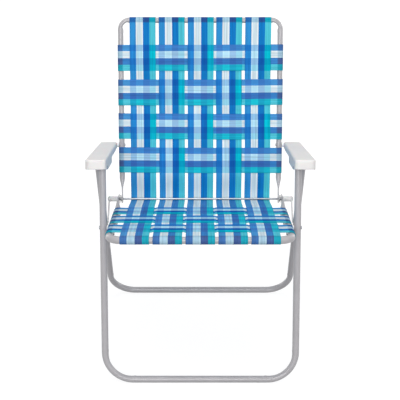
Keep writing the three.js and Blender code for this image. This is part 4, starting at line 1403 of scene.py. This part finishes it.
for number, x in enumerate(columns):
    back_over = overs(number + len(back_rows) - 1, len(back_rows))
    back_run = run([(ROD_RUN, -rod_high), *knots_of(back_rows, back_high, back_over),
                    (BACK_HEIGHT, back_high)], both_edges(back_rows))
    seat_over = overs(number, len(seat_rows))
    seat_run = run([(0, seat_high), *knots_of(seat_rows, seat_high, seat_over),
                    (seat_to_rod - ROD_RUN, ROD_LIFT - rod_high)], both_edges(seat_rows))
    upper = joined(arc((BACK_HEIGHT, 0), back_high, 90 - LONG_WRAP, 90), back_run[::-1],
                   arc((0, 0), rod_high, 270, 270 - turn_at_rod, ROD_STEP))
    lower = joined(seat_run[::-1], arc((0, 0), seat_high, 90, 90 + LONG_WRAP))
    line = joined(in_back(upper), in_seat(lower))
    crossings = np.vstack([in_back(edge_points(back_rows, back_run)),
                           in_seat(edge_points(seat_rows, seat_run))])
    rails = distances(line, np.vstack([in_back(np.array([[BACK_HEIGHT - BACK_R, back_high]])),
                                       in_seat(np.array([[SEAT_R, seat_high]]))]))
    # The share of painted sheen is full on the seat side of the rod and none on the back.
    sheen_share = smooth((hinge - line) @ seat_back / ROD_RUN)
    grid, vectors, long = ribbon(line, X, x * X, distances(line, crossings), rails, sheen_share)
    strap = place(f"long_strap_{number + 1}", [grid], vectors)
    strap.data.materials.append(WEBBING[0])
    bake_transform(strap)
    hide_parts(f"back_strap_{number + 1}", f"seat_strap_{number + 1}")
print("long straps:", len(columns), "of", round(long / MM), "mm")

# %% [markdown]
# The rows wrap round the side rails and end on the inner side, where they are screwed to the tube. Where
# a long strap goes over, the row goes under. A table holds what differs between the back and the seat.

# %% Cross straps
CROSS_WRAP = 250
# The share of painted sheen is full on the back's rows, whose ribs catch the light, and none on the
# seat's.
PANELS = {
    "back": {"rows": back_rows, "first": len(back_rows), "along": leg_up, "out": back_out, "base": hinge,
             "half": back_half, "radius": BACK_R, "sheen_share": 1.0, "rail": back_rail, "wrap": -1},
    "seat": {"rows": seat_rows, "first": 1, "along": seat_back, "out": seat_out, "base": seat_rail,
             "half": seat_half, "radius": SEAT_R, "sheen_share": 0.0, "rail": seat_rail, "wrap": 1},
}


def cross_strap(name, number, panel):
    """A strap across the chair in place of a node, round both rails; its stripes run from the top or the
    rear."""
    along, out, half, radius = (panel[key] for key in ("along", "out", "half", "radius"))
    high = strap_high(radius)
    over_each = overs(panel["first"] + number, len(columns))
    right = arc((half, 0), high, 90, 90 - CROSS_WRAP)
    left = (right * (-1, 1))[::-1]
    middle = run([(-half, high), *knots_of(columns, high, over_each), (half, high)], both_edges(columns))
    to_frame = in_plane(np.zeros(3), X, out)
    line = to_frame(joined(left, middle, right))
    edges = distances(line, to_frame(edge_points(columns, middle)))
    inner = (half - radius) * np.array([-1, 1])
    rails = distances(line, to_frame(np.column_stack([inner, np.interp(inner, *middle.T)])))
    centre = panel["base"] + panel["rows"][number] * along
    grid, vectors, long = ribbon(line, -along, centre, edges, rails, panel["sheen_share"])
    strap = dress(place(f"{name}_row_{number + 1}", [grid], vectors), WEBBING,
                  f"{name}_cross_strap_{number + 1}")
    return long


for name, panel in PANELS.items():
    made = [cross_strap(name, number, panel) for number in range(len(panel["rows"]))]
    print(name, "rows:", len(made), "of", round(made[-1] / MM), "mm")

# %% [markdown]
# ## Strap screws
# Every strap end is held to the far side of its tube by a small screw with a low hexagon head and a
# flange. A hexagon is a circle whose radius varies with the angle, so the same sweep makes the head and
# the flange.

# %% Screws at the strap ends
FLANGE_R = 4.6 * MM
FLANGE_HIGH = 0.5 * MM
FLANGE_SINK = 0.5 * MM
FLANGE_RISE = 0.2 * MM
FLANGE_EDGE = 0.25 * MM
HEX_FLAT = 3.2 * MM
HEX_HIGH = 1.5 * MM
HEX_RISE = 0.15 * MM
HEX_EDGE = 0.4 * MM
SCREW_SIDES = (32, 48)
LONG_SCREW = 14
CROSS_SCREW = 26


def hexagon(turn):
    """Radius of a hexagon over the radius of the circle inside it."""
    return 1 / np.cos((turn + np.pi / 6) % (np.pi / 3) - np.pi / 6)


def screw(centre, first, second, radius, degrees):
    """Flange and hexagon head of a screw on a strap that is wrapped round a tube. The angle from first
    towards second says where it sits and which way it faces."""
    angle = np.radians(degrees)
    way = np.cos(angle) * first + np.sin(angle) * second
    point = centre + (strap_high(radius) + STRAP_THICK / 2) * way
    flange = rounded([(0, -FLANGE_SINK), (FLANGE_R, -FLANGE_SINK), (FLANGE_R, FLANGE_HIGH),
                      (0, FLANGE_HIGH + FLANGE_RISE)], FLANGE_EDGE)
    head = rounded([(0, 0), (HEX_FLAT, 0), (HEX_FLAT, HEX_HIGH), (0, HEX_HIGH + HEX_RISE)], HEX_EDGE)
    return [swept(flange, point, way, SCREW_SIDES[0]), swept(head, point, way, SCREW_SIDES[1], hexagon)]


def panel_screws(panel):
    """Screws at the rail ends of the long straps and at both ends of the rows."""
    along, out, half, radius = (panel[key] for key in ("along", "out", "half", "radius"))
    long_end = 90 + panel["wrap"] * (LONG_WRAP - LONG_SCREW)
    cross_end = 90 - CROSS_WRAP + CROSS_SCREW
    made = []
    for x in columns:
        made += screw(panel["rail"] + x * X, along, out, radius, long_end)
    for row in panel["rows"]:
        for tag, side in SIDES:
            made += screw(panel["base"] + row * along + side * half * X, side * X, out, radius, cross_end)
    return made


for name, panel in PANELS.items():
    screws = panel_screws(panel)
    dress(place(f"{name}_strap_screws", screws), ZINC, body=name)
    print(name, "strap screws:", len(screws) // 2)

# %% [markdown]
# ## Floor
# The chair stands on plain pale paper. More light would turn the paper white, but would bleach the chair
# too. So the camera and mirror-like reflections see the paper glow, while all other light meets a light
# grey, and the floor still takes the chair's soft shadow.

# %% Floor
FLOOR_HALF = 14.0
FLOOR_DROP = 0.25 * MM
FLOOR_GREY = "#B0B0B2"
SHADOW_GREY = "#7E7E80"
GLOW_NEAR = 0.86
GLOW_FROM = 0.5
GLOW_FULL = 1.6


def seen_rays(tree):
    """1 where the camera, a reflection or a see-through surface looks, and 0 for all other light."""
    ray = add(tree, "ShaderNodeLightPath").outputs
    seen = ray["Is Camera Ray"]
    for kind in ("Is Glossy Ray", "Is Transmission Ray"):
        seen = add(tree, "ShaderNodeMath", {0: seen, 1: ray[kind]}, operation="MAXIMUM").outputs[0]
    return seen


def paper_floor():
    """Pale paper: white to the camera and in reflections, less its shadow, and light grey to other
    light."""
    material, tree = blank("pale_paper_floor")
    plain = add(tree, "ShaderNodeBsdfDiffuse", {"Color": linear(FLOOR_GREY)})
    shadow = add(tree, "ShaderNodeBsdfDiffuse", {"Color": linear(SHADOW_GREY)})
    where = add(tree, "ShaderNodeTexCoord").outputs["Object"]
    away = add(tree, "ShaderNodeVectorMath", {0: where}, operation="LENGTH").outputs["Value"]
    # The glow is weaker near the chair, where lamps light the paper and its shadow shows, and full far
    # off, as painted light for the lamps' fall-off.
    fade = add(tree, "ShaderNodeMapRange", {
        "Value": away, "From Min": GLOW_FROM, "From Max": GLOW_FULL, "To Min": GLOW_NEAR, "To Max": 1.0})
    glow = add(tree, "ShaderNodeEmission", {"Color": WHITE, "Strength": fade.outputs[0]})
    white = add(tree, "ShaderNodeAddShader", {0: shadow.outputs[0], 1: glow.outputs[0]})
    both = add(tree, "ShaderNodeMixShader", {
        0: seen_rays(tree), 1: plain.outputs[0], 2: white.outputs[0]})
    add(tree, "ShaderNodeOutputMaterial", {"Surface": both.outputs[0]})
    return material


corners = FLOOR_HALF * np.array([(-1, -1, 0), (1, -1, 0), (1, 1, 0), (-1, 1, 0)]) - (0, 0, FLOOR_DROP)
floor_mesh = bpy.data.meshes.new("floor")
floor_mesh.from_pydata(corners.tolist(), [], [[0, 1, 2, 3]])
floor = bpy.data.objects.new("floor", floor_mesh)
bpy.context.scene.collection.objects.link(floor)
floor_mesh.materials.append(paper_floor())
print("floor:", 2 * FLOOR_HALF, "m square")

# %% [markdown]
# ## Sky and lamps
# Wide lamps in front, overhead, at the side and behind give soft studio light, and an even sky fills the
# shadows. Small lamps would draw hard shadows and sharp glints. The camera and reflections see the sky as
# white, as they do the floor.

# %% Sky and lamps
SKY = 0.38
TARGET = (0.0, 0.0, 0.45)
LAMPS = {
    "front": ((-0.5, -3.6, 2.0), 2.0, 84.0),
    "overhead": ((-0.2, -0.2, 4.2), 2.4, 58.0),
    "side": ((2.6, -1.6, 2.0), 1.8, 20.0),
    "rear_left": ((-3.0, 2.4, 1.0), 1.6, 18.0),
    "rear_right": ((3.0, 2.4, 1.0), 1.6, 18.0),
}

world = bpy.data.worlds.new("studio")
world.use_nodes = True
tree = world.node_tree
tree.nodes.clear()
sky = add(tree, "ShaderNodeBackground", {"Color": WHITE, "Strength": SKY})
white = add(tree, "ShaderNodeBackground", {"Color": WHITE, "Strength": 1.0})
both = add(tree, "ShaderNodeMixShader", {0: seen_rays(tree), 1: sky.outputs[0], 2: white.outputs[0]})
add(tree, "ShaderNodeOutputWorld", {"Surface": both.outputs[0]})
bpy.context.scene.world = world

for name, (where, size, power) in LAMPS.items():
    data = bpy.data.lights.new(name, "AREA")
    data.size = size
    data.energy = power
    lamp = bpy.data.objects.new(name, data)
    lamp.location = where
    way = Vector(TARGET) - lamp.location
    lamp.rotation_euler = way.to_track_quat("-Z", "Y").to_euler()
    bpy.context.scene.collection.objects.link(lamp)
print("lamps:", len(LAMPS))

# %% [markdown]
# ## Camera
# The camera stands well back with a long lens, square on to the chair, and looks down at about 25
# degrees. A short lens close by would fill the frame too, but would spread the legs and swell the seat.
# Place, pitch and lens were fitted to the photograph.

# %% Camera
CAMERA_PLACE = (0.0, -2.4681, 1.5619)
CAMERA_PITCH = 24.63
CAMERA_LENS = 85.41
CAMERA_SENSOR = 36.0
CAMERA_SHIFT = -0.001

camera_data = bpy.data.cameras.new("camera")
camera_data.lens = CAMERA_LENS
camera_data.sensor_width = CAMERA_SENSOR
camera_data.shift_x = CAMERA_SHIFT
camera = bpy.data.objects.new("camera", camera_data)
camera.location = CAMERA_PLACE
camera.rotation_euler = (np.radians(90 - CAMERA_PITCH), 0.0, 0.0)
bpy.context.scene.collection.objects.link(camera)
bpy.context.scene.camera = camera
bpy.context.scene.view_settings.view_transform = "Standard"
print("camera:", CAMERA_LENS, "mm lens, looking down", CAMERA_PITCH, "degrees")

# %% [markdown]
# ## Scene update
# The view layer is brought up to date.

# %% Update the view layer
bpy.context.view_layer.update()
